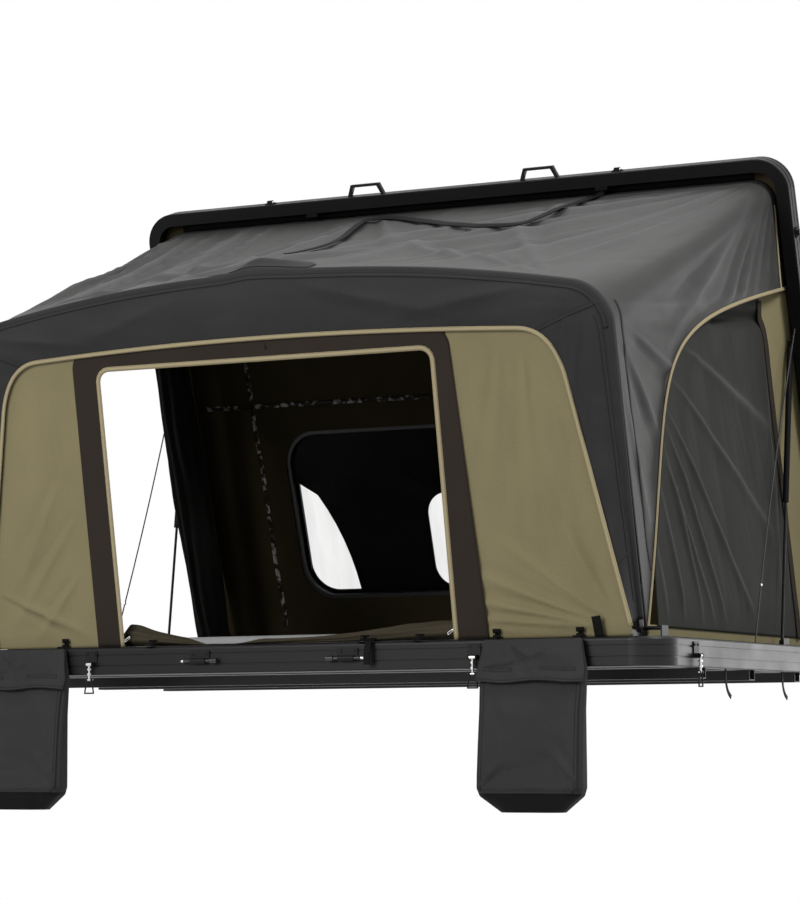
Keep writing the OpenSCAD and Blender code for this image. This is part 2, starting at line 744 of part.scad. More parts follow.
module lid_panel() {
  color(rail_grey) on_lid() translate([0, 0, hinge_z + panel_under]) linear_extrude(panel_t) difference() {
    rounded_rect(2 * (end_inner - panel_gap), 2 * (side_inner - panel_gap), corner_r - rail_t - panel_gap);
    window_outline();
  }
}

// Rear window: an outer trim ring, a board with three lights and a clear film behind it
trim_t = 4;
board_t = 5;
film_t = 1;
panel_top = hinge_z + panel_under + panel_t;

module window_trim() {
  color(black) on_lid() translate([0, 0, panel_top]) linear_extrude(trim_t) difference() {
    window_outline(trim_w);
    window_outline(-trim_w / 2);
  }
}

light_w = 500;
light_h = 300;
light_gap = 268;

module window_lights() {
  low = hinge_y - window_low - trim_w / 2;
  side = window_w / 2 - trim_w / 2;
  inner = light_w / 2 + light_gap;
  translate([0, low - light_h / 2]) rounded_rect(light_w, light_h, 70);
  for (sx = [0, 1]) mirror([sx, 0]) polygon(concat(
    [for (k = [0:6]) bezier([inner, low], [inner + 20, low - 170], [side - 60, low - 310], k / 6)],
    [[side, low - 350], [side, low]]));
}

module window_board() {
  color(black) on_lid() translate([0, 0, panel_top - board_t]) linear_extrude(board_t) difference() {
    window_outline(-panel_gap);
    window_lights();
  }
}

module window_film() {
  color([0.9, 0.92, 0.93, 0.35]) on_lid() translate([0, 0, panel_top - board_t - film_t])
    linear_extrude(film_t) window_outline(-panel_gap);
}

// Lining stretched under the lid ledge, cut out for the window
module lid_lining() {
  inset = 1;
  color(zip_brown) on_lid() translate([0, 0, hinge_z + lining_up]) linear_extrude(cloth_t) difference() {
    rounded_rect(2 * (end_inner - inset), 2 * (side_inner - inset), corner_r - rail_t - inset);
    window_outline(trim_w / 2);
  }
}

// Bent-bar handles on the free edge
module lid_handle(x) {
  bar_t = 8;
  bar_w = 14;
  foot_w = 10;
  rake = 14;
  foot = handle_l / 2;
  inner = foot - foot_w;
  low = base_top + seal_gap + lid_h * 0.46 - bar_w / 2;
  color(black) on_lid() at_edge(180, -x) translate([0, 0, low]) linear_extrude(bar_w)
    polygon([[-foot, 0], [-foot + rake, handle_h], [foot - rake, handle_h], [foot, 0], [inner, 0],
      [inner - rake + 2, handle_h - bar_t], [-inner + rake - 2, handle_h - bar_t], [-inner, 0]]);
}

module lid_handle_left() { lid_handle(-handle_half); }
module lid_handle_right() { lid_handle(handle_half); }

// Canopy curves: each is a half curve from the middle (u = 0) to the foot (u = 1)
u_top = 0.42;
u_corner = 0.58;
hoop_hem = 24;
canopy_off = hoop_d / 2 + hoop_gap + cloth_t / 2;

function hoop_plane_pt(x, s, out) =
  hoop_foot + [x, -s * sin(hoop_lean) - out * cos(hoop_lean), s * cos(hoop_lean) - out * sin(hoop_lean)];

// How far a half curve has gone round its corner, and down past it
function at_corner(u) = (u - u_top) / (u_corner - u_top);
function past_corner(u) = (u - u_corner) / (1 - u_corner);

// Round the hoop: along the crown, round the corner, down the leg.
// Turn 0 is over the tube, 90 in front of it.
function round_hoop(u, turn) =
  let (over = canopy_off * cos(turn), out = canopy_off * sin(turn))
  u < u_top ? let (a = hoop_alpha * u / u_top, r = hoop_crown_r + over)
    hoop_plane_pt(r * sin(a), hoop_crown_s + r * cos(a), out)
  : u < u_corner ? let (a = lerp(90 - hoop_alpha, 0, at_corner(u)), r = hoop_corner_r + over)
    hoop_plane_pt(hoop_corner_x + r * cos(a), hoop_leg + r * sin(a), out)
  : hoop_plane_pt(hoop_half + over, lerp(hoop_leg, hoop_hem, past_corner(u)), out);

// Along the lid lining: across the free edge, round the corner, down the side
lid_curve_x = hoop_half + canopy_off;
lid_curve_w = lid_inner_w - ledge_w - 8;
lid_curve_r = 60;
lid_curve_h = lining_up - cloth_t / 2 - seat_gap;
lid_curve_low = 2 * lid_curve_r;
lid_bend = [lid_curve_x - lid_curve_r, lid_curve_w - lid_curve_r];
function under_lid(u) =
  u < u_top ? lid_pt(lid_bend.x * u / u_top, lid_curve_w, lid_curve_h)
  : u < u_corner ? let (a = lerp(90, 0, at_corner(u)))
    lid_pt(lid_bend.x + lid_curve_r * cos(a), lid_bend.y + lid_curve_r * sin(a), lid_curve_h)
  : lid_pt(lid_curve_x, lerp(lid_bend.y, lid_curve_low, past_corner(u)), lid_curve_h);

function mirrored(p, sx) = [sx * p.x, p.y, p.z];

// Main folds of the roof: start and end as shares of the hoop's half width and the shell's half width,
// then the width at the end and the share of the largest height
roof_folds = [
  [0.98, 0.47, 0.05, -0.86, 60, 0.9],
  [0.98, 0.47, 0.47, -1.14, 55, 0.75],
  [-0.91, 0.49, -0.76, -1.11, 50, 0.8],
  [-0.72, 0.49, -0.53, -1.04, 50, 0.75],
  [-0.24, 0.33, -0.32, -0.97, 70, 1],
  [0.35, -0.14, 0.13, -1.11, 80, 0.9],
  [-0.42, -1.17, 0.11, 0, 70, 0.6]];

function fold_rise(x, y, f) =
  let (a = [f[0] * hoop_half, f[1] * side_face],
    d = [f[2] * hoop_half, f[3] * side_face] - a,
    q = ([x, y] - a) * d / (d * d),
    off = ((x - a.x) * d.y - (y - a.y) * d.x) / norm(d) / (f[4] * (0.3 + 0.7 * q)))
  q <= 0 || q >= 1 ? 0 : f[5] * pow(sin(180 * q), 0.7) * (exp(-off * off) - 0.5 * exp(-pow(off - 1.7, 2)));
function roof_fold(x, y) = fold_h * ([for (f = roof_folds) fold_rise(x, y, f)] * [for (f = roof_folds) 1]);

// The roof droops between hoop and lid, and the folds fade out at both
function roof_weight(u) = u < u_top ? 1 : u > u_corner ? 0 : 1 - smooth(at_corner(u));
fold_fade = 8;
function canopy_pt(q, v) =
  let (u = abs(q),
    p = mirrored(lerp(round_hoop(u, 0), under_lid(u), v), q < 0 ? -1 : 1),
    fade = min(1, fold_fade * v, fold_fade * (1 - v)),
    rise = roof_fold(p.x, p.y) * fade - roof_sag * sin(180 * v))
  p + [0, 0, rise * roof_weight(u)];

half_u = concat(
  [for (i = [1:8]) u_top * i / 8],
  [for (i = [1:6]) lerp(u_top, u_corner, i / 6)],
  [for (i = [1:4]) lerp(u_corner, 1, i / 4)]);
canopy_u = concat([for (i = [len(half_u) - 1:-1:0]) -half_u[i]], [0], half_u);
canopy_rows = 8;
hood_rows = 3;
wrap_turns = [0, 30, 60];

// Side arch: the fly's lower edge at each end, a cubic curve steep by the door and easy towards the lid.
// Its control points are shares of the arch's reach and height.
arch_up = 10;
arch_foot = [-side_face + arch_back, base_top + arch_up];
arch_end_y = hinge_y - (arch_h + arch_up) / tan(lid_open) + lid_curve_h / sin(lid_open);
arch_shape = [[0, 0], [0.214, 0.727], [-0.051, 0.76], [1, 1]];
arch_steps = 20;
function arch_line(t) =
  let (s = 1 - t, k = [s * s * s, 3 * t * s * s, 3 * t * t * s, t * t * t] * arch_shape)
  arch_foot + [k.x * (arch_end_y - arch_foot.x), k.y * arch_h];
function arch_pt(t, grow = 0) =
  let (d = unit(arch_line(t + 0.001) - arch_line(t - 0.001)))
  arch_line(t) + grow * [-d.y, d.x];

// Where along the arch a height lies, by halving
function arch_t(z, a = 0, b = 1, n = 20) =
  let (m = (a + b) / 2)
  n == 0 ? m : arch_line(m).y < z ? arch_t(z, m, b, n - 1) : arch_t(z, a, m, n - 1);

module arch_outline(grow = 0) {
  past_lid = hinge_y + hinge_z;
  polygon(concat([for (k = [0:arch_steps]) arch_pt(k / arch_steps, grow)],
    [[past_lid, arch_foot.y + arch_h + grow], [past_lid, 0], [arch_foot.x - grow, 0]]));
}

// Turns a (y, z) outline into a slab across X
module across(x0, x1) {
  translate([x0, 0, 0]) rotate([90, 0, 90]) linear_extrude(x1 - x0) children();
}

// Front wall plane: piping divides the tan wall from the hood
function front_y(z) = -side_face + front_set - (z - base_top) * tan(front_lean);
function front_pt(x, z, out = 0) = [x, front_y(z) - out * cos(front_lean), z - out * sin(front_lean)];
piping_x = 715;
piping_drop = 22;
piping_foot_x = hoop_half + canopy_off - 4;
piping_foot_z = base_top + 26;
piping_bend = [
  [piping_x, piping_z - piping_drop],
  [piping_x + 100, piping_z - piping_drop - 6],
  [piping_x + 125, piping_z - 170]];

function piping_xz(u) =
  u < u_top ? let (x = piping_x * u / u_top) [x, piping_z - piping_drop * pow(x / piping_x, 2)]
  : u < u_corner ? bezier(piping_bend[0], piping_bend[1], piping_bend[2], at_corner(u))
  : lerp(piping_bend[2], [piping_foot_x, piping_foot_z], past_corner(u));

hood_out = 4.5;
hood_bulge = 10;
leg_bulge = 14;
function hood_pt(q, v) =
  let (u = abs(q),
    xz = piping_xz(u),
    p = lerp(round_hoop(u, 90), front_pt(xz[0], xz[1], hood_out), v),
    bulge = sin(180 * v) * lerp(leg_bulge, hood_bulge, roof_weight(u)))
  mirrored(p - [0, bulge, 0], q < 0 ? -1 : 1);

// The fly: roof, end gores and front hood, one sheet over hoop and lid
function wrap_row(turn) = [for (q = canopy_u) mirrored(round_hoop(abs(q), turn), q < 0 ? -1 : 1)];

module fly() {
  color(fly_grey) {
    difference() {
      sheet([for (i = [0:canopy_rows]) [for (q = canopy_u) canopy_pt(q, i / canopy_rows)]]);
      across(-end_face, end_face) arch_outline();
    }
    sheet(concat(
      [for (i = [hood_rows:-1:0]) [for (q = canopy_u) hood_pt(q, i / hood_rows)]],
      [for (i = [len(wrap_turns) - 1:-1:0]) wrap_row(wrap_turns[i])]));
  }
}

// Doorway in the front wall plane
door_x = door_shift;
wall_gap = 0.3;
door_sill = base_top + 1;
door_r = 34;
band_r = 20;
band_top = piping_z - 2;

module in_front_plane(out) {
  translate([0, front_y(base_top), base_top]) rotate([90 + front_lean, 0, 0])
    translate([0, 0, out]) children();
}

// Height in the leaning plane of a point at height z
function plane_s(z) = (z - base_top) / cos(front_lean);

module door_outline(grow, top, r, low) {
  w = door_w / 2 + grow;
  h = round(100 * plane_s(top)) / 100;
  s = round(100 * plane_s(low)) / 100;
  translate([door_x, 0]) {
    translate([-w, s]) square([2 * w, h - r - s]);
    translate([-w + r, s]) square([2 * (w - r), h - s]);
    for (k = [-1, 1]) translate([k * (w - r), h - r]) circle(r);
  }
}

module door_band() {
  color(zip_brown) in_front_plane(wall_gap) linear_extrude(cloth_t) difference() {
    door_outline(band_w, band_top, band_r, door_sill);
    door_outline(0, door_top, door_r, door_sill - 1);
  }
}

// Two tan panels beside the doorway, with soft hanging folds that fade at the seams
wall_rows = 14;
wall_cols = 10;
wall_lap = 10;
edge_steps = 90;
edge_u = 0.2;
function wall_edge(z, k = 0) =
  let (p = piping_xz(lerp(1, edge_u, k / edge_steps)),
    n = piping_xz(lerp(1, edge_u, (k + 1) / edge_steps)))
  k >= edge_steps || n[1] >= z ? lerp(p[0], n[0], max(0, min(1, (z - p[1]) / max(n[1] - p[1], 0.01))))
  : wall_edge(z, k + 1);

function wall_pt(sx, i, j) =
  let (f = i / wall_rows,
    t = j / wall_cols,
    x0 = sx * door_x + door_w / 2 + band_w - wall_lap,
    z = lerp(door_sill, piping_z - piping_drop * pow(x0 / piping_x, 2) - 1, f),
    x = lerp(x0, max(wall_edge(max(z, piping_foot_z)) - 2 * cloth_t, x0 + wall_lap / 2), t),
    fold = wall_fold * sin(180 * t) * sin(180 * f) * (1 + sin(360 * (2.6 * t + 1.8 * f))) / 2)
  mirrored(front_pt(x, z, -cloth_t / 2 - wall_gap - fold), sx);

module front_wall() {
  color(tan_canvas) for (sx = [-1, 1])
    sheet([for (i = [0:wall_rows]) [for (j = [0:wall_cols]) wall_pt(sx, sx > 0 ? wall_rows - i : i, j)]]);
}

// The door flap, unzipped and bunched along the sill, lying on the mattress
flap_gap = 30;
flap_l = door_w - 2 * flap_gap;
flap_r = 15;
flap_rings = 28;
flap_y = -side_inner + mattress_side + 12;

module door_flap() {
  function ring(i) =
    let (f = i / flap_rings,
      x = door_x + lerp(-flap_l / 2, flap_l / 2, f),
      tip = i % flap_rings == 0 ? 0.4 : 1,
      r = (flap_r + flap_r / 3 * sin(360 * 2.3 * f) + flap_r / 5 * sin(360 * 7 * f + 40)) * tip,
      fat = 1.5 + 0.3 * cos(360 * 3 * f))
    [for (k = [0:11])
      let (a = 30 * k)
      [x, flap_y + r * fat * cos(a), base_top + seat_gap + r + r * sin(a)]];
  color(tan_canvas) loft([for (i = [0:flap_rings]) ring(i)]);
}

// End walls: tan cloth in the plane of the fly's ends, inside the arch, down to the floor and into the lid
wall_x = hoop_half + canopy_off;
lid_line = lining_up - seat_gap;
function lid_yz(w, h) = [lid_pt(0, w, h).y, lid_pt(0, w, h).z];

module end_outline() {
  near = arch_foot.x;
  far = side_inner - 1;
  low = floor_top + seat_gap;
  in_lid = hinge_out + rail_t + 2;
  notch_r = hoop_d + hoop_up + 5;
  difference() {
    intersection() {
      arch_outline(-seat_gap);
      polygon([[near, low], [far, low], [far, base_top + 1], lid_yz(in_lid, 0), lid_yz(in_lid, lid_line),
        lid_yz(2 * arch_h, lid_line), [near, 2 * arch_h]]);
    }
    translate([hoop_foot.y, hoop_foot.z]) circle(notch_r);
  }
}

door_far = 150;
end_hem = 34;
arch_hem = 14;
end_low = base_top + end_hem;
function end_door_edge(w) = lid_yz(w, lid_line - door_far);

module end_door_outline() {
  intersection() {
    arch_outline(-arch_hem);
    polygon([[arch_foot.x, end_low], [end_door_edge(0).x, end_low], end_door_edge(2 * arch_h),
      [arch_foot.x, 2 * arch_h]]);
  }
}

module end_wall(sx) {
  color(tan_canvas) mirror([sx < 0 ? 1 : 0, 0, 0])
    across(wall_x - cloth_t / 2, wall_x + cloth_t / 2) difference() {
      end_outline();
      end_door_outline();
    }
}

module end_wall_left() { end_wall(-1); }
module end_wall_right() { end_wall(1); }

// The closed end door: a dark sheet outside the wall's border, its folds running up from the near foot
door_rows = 14;
door_cols = 12;
door_lap = 6;
door_fold = 7;
door_top_gap = 36;
function door_edge_at(z) =
  end_door_edge((z - hinge_z - (lid_line - door_far) * cos(lid_open)) / sin(lid_open)).x;

function end_door_pt(i, j) =
  let (f = i / door_rows, t = j / door_cols,
    z = lerp(end_low - door_lap, arch_foot.y + arch_h - door_top_gap, f),
    y0 = arch_pt(arch_t(z), door_lap - arch_hem).x,
    y1 = max(door_edge_at(z) + door_lap, y0 + arch_hem),
    fold = door_fold * sin(180 * t) * sin(180 * f) * (1 + sin(360 * (3.2 * t - 1.4 * f))))
  [wall_x + cloth_t + seat_gap + fold, lerp(y0, y1, t), z];

module end_door_right() {
  color(fly_grey) sheet([for (i = [0:door_rows]) [for (j = [0:door_cols]) end_door_pt(i, j)]]);
}

// The open end door, gathered and tied back along its far edge: flat where it is sewn inside the wall
roll_t = 56;
roll_wave = 4;
roll_w = 176;
roll_rings = 20;
roll_low = 130;
roll_high = arch_h - roll_low / 4;
// Its section: share of the thickness inward, share of the half width
roll_shape = [[1, 0.3], [1, -0.2], [0.8, -0.7], [0.35, -1], [0, -1], [0, 1], [0.35, 1], [0.75, 0.75]];

module end_door_left() {
  x = wall_x - cloth_t / 2 - seat_gap;
  function ring(i) =
    let (f = i / roll_rings,
      c = lid_yz(lerp(roll_low, roll_high, f), lid_line - door_far - roll_w / 2 + 2 * door_lap),
      tip = i == 0 || i == roll_rings ? 0.45 : 1,
      t = tip * (roll_t + roll_wave * sin(360 * 3.5 * f)),
      half = tip * (roll_w / 2 + roll_wave * sin(360 * 2.5 * f)))
    [for (k = roll_shape) [-x + t * k.x, c.x + half * k.y * sin(lid_open), c.y + half * k.y * cos(lid_open)]];
  color(fly_grey) loft([for (i = [0:roll_rings]) ring(i)]);
}

// Elastic cords that draw the end walls in: from the lid rail to the base rail, with a bead
bungee_d = 4;
bungee_route = [0, 0.1, 0.25, 0.4, 0.55, 0.7, 0.85, 1];
bungee_foot_y = 46;
bungee_past = 46;
bungee_bow = 8;

module bungee(sx) {
  head = lid_pt(0, strut_lid_w + bungee_past, seal_gap - bungee_d / 2 - seat_gap / 2);
  foot = [0, bungee_foot_y, base_top + bungee_d / 2 + 2 * seat_gap];
  route = [for (f = bungee_route)
    [sx * (end_inner + bungee_bow * (1 - sin(180 * f))), lerp(head.y, foot.y, f), lerp(head.z, foot.z, f)]];
  color(black) {
    route_tube(route, bungee_d / 2, bungee_d / 2, [1, 0, 0], 8);
    translate(lerp(route[6], route[5], 0.2)) sphere(4.5, $fn = 24);
  }
}

module bungee_left() { bungee(-1); }
module bungee_right() { bungee(1); }

// Closing strap: buckled under the lid edge, swept over the roof, with a loose tail
strap_w = 25;
strap_t = 2.4;
strap_x = 488;
// Its way over the roof: x, then the share of the way from the hoop to the lid
strap_route = [[478, 0.955], [468, 0.92], [454, 0.86], [438, 0.78], [422, 0.7], [404, 0.62],
  [368, 0.575], [306, 0.59], [236, 0.63], [150, 0.69], [66, 0.76], [-30, 0.83], [-121, 0.885],
  [-190, 0.905], [-226, 0.88], [-214, 0.82], [-196, 0.74], [-172, 0.66], [-160, 0.58], [-163, 0.5],
  [-172, 0.43], [-176, 0.38]];
strap_lift = 9.6;
roof_up = [0, -0.3, 1];

function roof_u(x, v) = u_top * x / lerp(round_hoop(u_top, 0).x, under_lid(u_top).x, v);
function strap_pt(p) = canopy_pt(roof_u(p[0], p[1]), p[1]) + [0, 0, cloth_t / 2 + strap_t / 2 + strap_lift];

module closing_strap() {
  at_buckle = lid_pt(strap_x, lid_inner_w - buckle_t - 2 * seat_gap - 1.25 * strap_t, buckle_low + 4);
  route = concat([at_buckle], [for (p = strap_route) strap_pt(p)]);
  color(black) route_tube(route, strap_w / 2, strap_t / 2, roof_up, 8);
}

// Ladder-lock buckles on the inner face of the lid's free rail
buckle_w = 36;
buckle_t = 9;
buckle_h = 30;
buckle_low = -8;

module strap_buckles() {
  slot_w = strap_w + 2;
  color(black) on_lid() for (x = [-strap_x + 26, strap_x])
    translate([x - buckle_w / 2, -side_inner + seat_gap, hinge_z + buckle_low]) difference() {
      cube([buckle_w, buckle_t, buckle_h]);
      for (z = [4, 13, 22]) translate([(buckle_w - slot_w) / 2, -1, z]) cube([slot_w, buckle_t + 2, 4]);
    }
}

base_floor();
base_rail_near();
base_rail_far();
base_rail_left();
base_rail_right();
base_corners();
mount_channels();
mattress();
base_hinge_leaves();
hinge_pins();
latch_plates();
latch_lever_front_left();
latch_lever_front_right();
latch_lever_end_left();
latch_lever_end_right();
latch_bail_front_left();
latch_bail_front_right();
latch_bail_end_left();
latch_bail_end_right();
ladder_brackets();
ladder_pin_left();
ladder_pin_right();
bag_left();
bag_right();
bag_straps();
strut_brackets_base();
strut_rod_left();
strut_rod_right();
strut_tube_left();
strut_tube_right();
hoop_brackets();
hoop();
lid_panel();
lid_rail_near();
lid_rail_far();
lid_rail_left();
lid_rail_right();
lid_corners();
lid_hinge_leaves();
lid_handle_left();
lid_handle_right();
latch_keepers();
strut_brackets_lid();
window_trim();
window_board();
window_film();
lid_lining();
strap_buckles();
closing_strap();
fly();
front_wall();
door_band();
door_flap();
end_wall_left();
end_wall_right();
end_door_left();
end_door_right();
bungee_left();
bungee_right();
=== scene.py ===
"""Roof top tent: the looks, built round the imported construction."""

import math

import bmesh
import bpy
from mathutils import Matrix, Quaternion, Vector, noise


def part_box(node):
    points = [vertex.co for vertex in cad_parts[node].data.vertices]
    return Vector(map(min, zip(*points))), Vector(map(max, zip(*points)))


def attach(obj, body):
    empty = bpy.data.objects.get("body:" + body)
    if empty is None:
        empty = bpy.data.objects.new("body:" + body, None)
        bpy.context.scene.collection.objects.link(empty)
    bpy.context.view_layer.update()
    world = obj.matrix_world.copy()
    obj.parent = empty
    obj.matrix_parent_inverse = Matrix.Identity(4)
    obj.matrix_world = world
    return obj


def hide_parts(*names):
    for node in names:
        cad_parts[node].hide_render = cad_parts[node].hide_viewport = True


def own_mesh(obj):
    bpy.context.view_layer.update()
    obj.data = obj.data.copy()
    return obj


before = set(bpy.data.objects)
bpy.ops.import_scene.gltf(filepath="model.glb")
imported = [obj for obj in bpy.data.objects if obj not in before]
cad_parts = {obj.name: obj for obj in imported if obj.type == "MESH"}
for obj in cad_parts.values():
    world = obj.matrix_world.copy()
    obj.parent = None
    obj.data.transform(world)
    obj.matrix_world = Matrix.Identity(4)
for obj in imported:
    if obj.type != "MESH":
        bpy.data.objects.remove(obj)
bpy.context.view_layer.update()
scene = bpy.context.scene
scene.view_settings.view_transform = "Standard"

# Camera: low, in front of the right-hand end, looking slightly up through a long lens.
# Its place and turn were fitted to the photograph.
camera_yaw, camera_pitch, camera_roll = (math.radians(a) for a in (-26.06, 5.46, -0.37))
camera_aim = Vector((math.sin(camera_yaw) * math.cos(camera_pitch),
                     math.cos(camera_yaw) * math.cos(camera_pitch), math.sin(camera_pitch)))
camera_data = bpy.data.cameras.new("camera")
camera_data.sensor_width = 36
camera_data.lens = 119.24
camera_data.clip_end = 80
camera = bpy.data.objects.new("camera", camera_data)
camera.location = (3.716, -7.654, -0.14)
camera.rotation_mode = "QUATERNION"
camera.rotation_quaternion = camera_aim.to_track_quat("-Z", "Y") @ Quaternion((0, 0, 1), camera_roll)
scene.collection.objects.link(camera)
scene.camera = camera


# Elastic cords: rubber cord in a black braid, hooked from the lid rail to the base rail at each end.
# A small bright bead rides low on each. They follow the lid.
LID_OPEN = math.radians(72)
LID_SIN, LID_COS = math.sin(LID_OPEN), math.cos(LID_OPEN)
LID_NORMAL = (0, LID_SIN, LID_COS)
HINGE_Y, HINGE_Z = 0.728, 0.102


def lid_point(x, w, h):
    """A point on the open lid: w up from the hinge line, h outwards."""
    return Vector((x, HINGE_Y - w * LID_COS + h * LID_SIN, HINGE_Z + w * LID_SIN + h * LID_COS))


def material(name, color, rough, **more):
    m = bpy.data.materials.new(name)
    m.use_nodes = True
    p = m.node_tree.nodes["Principled BSDF"]
    p.inputs["Base Color"].default_value = (*color, 1)
    p.inputs["Roughness"].default_value = rough
    for key, value in more.items():
        p.inputs[key.replace("_", " ").title().replace("Ior", "IOR")].default_value = value
    return m


def add_object(name, mesh, *materials):
    ob = bpy.data.objects.new(name, mesh)
    for m in materials:
        mesh.materials.append(m)
    scene.collection.objects.link(ob)
    return ob


def mesh_from(bm, name, smooth=True):
    mesh = bpy.data.meshes.new(name)
    bm.to_mesh(mesh)
    bm.free()
    if smooth:
        mesh.shade_smooth()
    return mesh


def tube(name, points, radius, mat, sides=3):
    curve = bpy.data.curves.new(name, "CURVE")
    curve.dimensions = "3D"
    curve.bevel_depth = radius
    curve.bevel_resolution = sides
    curve.use_fill_caps = True
    line = curve.splines.new("POLY")
    line.points.add(len(points) - 1)
    for point, place in zip(line.points, points):
        point.co = (*place, 1)
    shaped = bpy.data.objects.new(name, curve)
    mesh = bpy.data.meshes.new_from_object(shaped)
    bpy.data.objects.remove(shaped)
    mesh.name = name
    mesh.shade_smooth()
    return add_object(name, mesh, mat)


def fold_with_lid(ob):
    """Carries a soft piece with the lid, on a mesh of its own."""
    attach(ob, "lid")
    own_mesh(ob)
    return ob


cord_black = material("elastic_black", (0.012, 0.012, 0.013), 0.55)
bead_chrome = material("bead_chrome", (0.75, 0.75, 0.74), 0.16, metallic=1)
CORD_RADIUS, CORD_SEAT, CORD_X, CORD_BOW, CORD_STEPS = 0.002, -0.0016, 1.012, 0.008, 40
BEAD_RADIUS, BEAD_STEP = 0.0045, 33
SIDES = (("left", -1), ("right", 1))
cord_head, cord_foot = lid_point(0, 0.953, CORD_SEAT), Vector((0, 0.046, 0.1048))
for side, sx in SIDES:
    path = []
    for i in range(CORD_STEPS + 1):
        f = i / CORD_STEPS
        p = cord_head.lerp(cord_foot, f)
        path.append(Vector((sx * (CORD_X + CORD_BOW * (1 - math.sin(math.pi * f))), p.y, p.z)))
    cord = fold_with_lid(tube(f"elastic_cord_{side}", path, CORD_RADIUS, cord_black))
    bm = bmesh.new()
    bmesh.ops.create_uvsphere(bm, u_segments=20, v_segments=12, radius=BEAD_RADIUS)
    bmesh.ops.translate(bm, verts=bm.verts, vec=path[BEAD_STEP])
    bead_name = f"cord_bead_{side}"
    bead = fold_with_lid(add_object(bead_name, mesh_from(bm, bead_name), bead_chrome))
    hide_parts(f"bungee_{side}")

# Shell rails and corner castings: aluminium extrusions and castings in satin black powder coat.
# The coat's fine orange peel breaks up the highlights. Handling has polished it a little.
def node_group(name, inputs, outputs):
    g = bpy.data.node_groups.new(name, "ShaderNodeTree")
    for key, kind in inputs:
        g.interface.new_socket(key, in_out="INPUT", socket_type=kind)
    for key, kind in outputs:
        g.interface.new_socket(key, in_out="OUTPUT", socket_type=kind)
    return g, g.nodes.new("NodeGroupInput"), g.nodes.new("NodeGroupOutput")


def node(tree, kind, **inputs):
    n = tree.nodes.new(f"ShaderNode{kind}")
    for key, value in inputs.items():
        n.inputs[key.replace("_", " ").title()].default_value = value
    return n


def wire(tree, *links):
    """Joins nodes: each link is a node, its output, the next node and its input."""
    for a, out, b, into in links:
        tree.links.new(a.outputs[out], b.inputs[into])


FLOAT, VECTOR, COLOR = "NodeSocketFloat", "NodeSocketVector", "NodeSocketColor"
coat_group, gin, gout = node_group("powder_coat", [("Place", VECTOR)],
                                   [("Roughness", FLOAT), ("Normal", VECTOR)])
peel = node(coat_group, "TexNoise", scale=900, detail=2)
smear = node(coat_group, "TexNoise", scale=9, detail=5)
spread = node(coat_group, "MapRange", to_min=0.26, to_max=0.48)
bump = node(coat_group, "Bump", strength=0.08, distance=0.0004)
wire(coat_group, (gin, "Place", peel, "Vector"), (gin, "Place", smear, "Vector"),
     (smear, "Fac", spread, "Value"), (spread, "Result", gout, "Roughness"),
     (peel, "Fac", bump, "Height"), (bump, "Normal", gout, "Normal"))


def use_group(m, group, source, links, **values):
    """Feeds the group's outputs to the material's shader, at the given texture place."""
    tree = m.node_tree
    n = node(tree, "Group")
    n.node_tree = group
    wire(tree, (node(tree, "TexCoord"), source, n, "Place"))
    for key, value in values.items():
        n.inputs[key.replace("_", " ").title()].default_value = value
    for key in links:
        wire(tree, (n, key, tree.nodes["Principled BSDF"], "Base Color" if key == "Color" else key))
    return m


def coated(name, color, rough, links=("Normal",), **more):
    return use_group(material(name, color, rough, **more), coat_group, "Object", links)


def dress(nodes, m):
    for name in nodes:
        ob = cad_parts[name]
        ob.data.materials.clear()
        ob.data.materials.append(m)


SATIN = ("Roughness", "Normal")
base_black = coated("base_rail_black", (0.008, 0.008, 0.0085), 0.35, SATIN, specular_ior_level=0.29)
# Painted shade: the near base rail and the lid rails get darker, less glossy copies of the same coat.
near_rail_shaded = coated("near_rail_black_shaded", (0.006, 0.006, 0.0065), 0.4, specular_ior_level=0.2)
lid_rail_shaded = coated("lid_rail_black_shaded", (0.005, 0.005, 0.0055), 0.35, SATIN, specular_ior_level=0.1)
for shell, coat, near_coat in (("base", base_black, near_rail_shaded), ("lid", lid_rail_shaded, lid_rail_shaded)):
    dress([f"{shell}_rail_{s}" for s in ("far", "left", "right")] + [f"{shell}_corners"], coat)
    dress([f"{shell}_rail_near"], near_coat)

# Lid skin, base floor and rear window: dark composite panels, with a moulded trim and board round the window.
# Clear vinyl film is fixed behind the board, and faint streaks run across it.
def mix_colors(tree, factor, a, b):
    """A mix of two colours, each a value or a node's output."""
    n = tree.nodes.new("ShaderNodeMix")
    n.data_type = "RGBA"
    tree.links.new(factor, n.inputs["Factor"])
    for key, color in (("A", a), ("B", b)):
        if isinstance(color, tuple):
            n.inputs[key].default_value = (*color, 1)
        else:
            tree.links.new(color, n.inputs[key])
    return n.outputs["Result"]


def paint(m, color):
    m.node_tree.links.new(color, m.node_tree.nodes["Principled BSDF"].inputs["Base Color"])


panel_black = coated("panel_black", (0.016, 0.016, 0.017), 0.5)
trim_black = coated("trim_black", (0.005, 0.005, 0.005), 0.45, specular_ior_level=0.08)
film = material("clear_film", (0.93, 0.95, 0.95), 0.08, transmission_weight=1.0, ior=1.05)
lean = node(film.node_tree, "Mapping", rotation=(0, math.radians(-32), 0), scale=(26, 4, 4))
streak = node(film.node_tree, "TexNoise", scale=1, detail=3)
film_place = node(film.node_tree, "TexCoord")
wire(film.node_tree, (film_place, "Object", lean, "Vector"), (lean, "Vector", streak, "Vector"))
paint(film, mix_colors(film.node_tree, streak.outputs["Fac"], (0.72, 0.73, 0.72), (0.99, 0.99, 0.98)))
dress(["lid_panel", "base_floor", "mount_channels"], panel_black)
dress(["window_trim", "window_board"], trim_black)
dress(["window_film"], film)

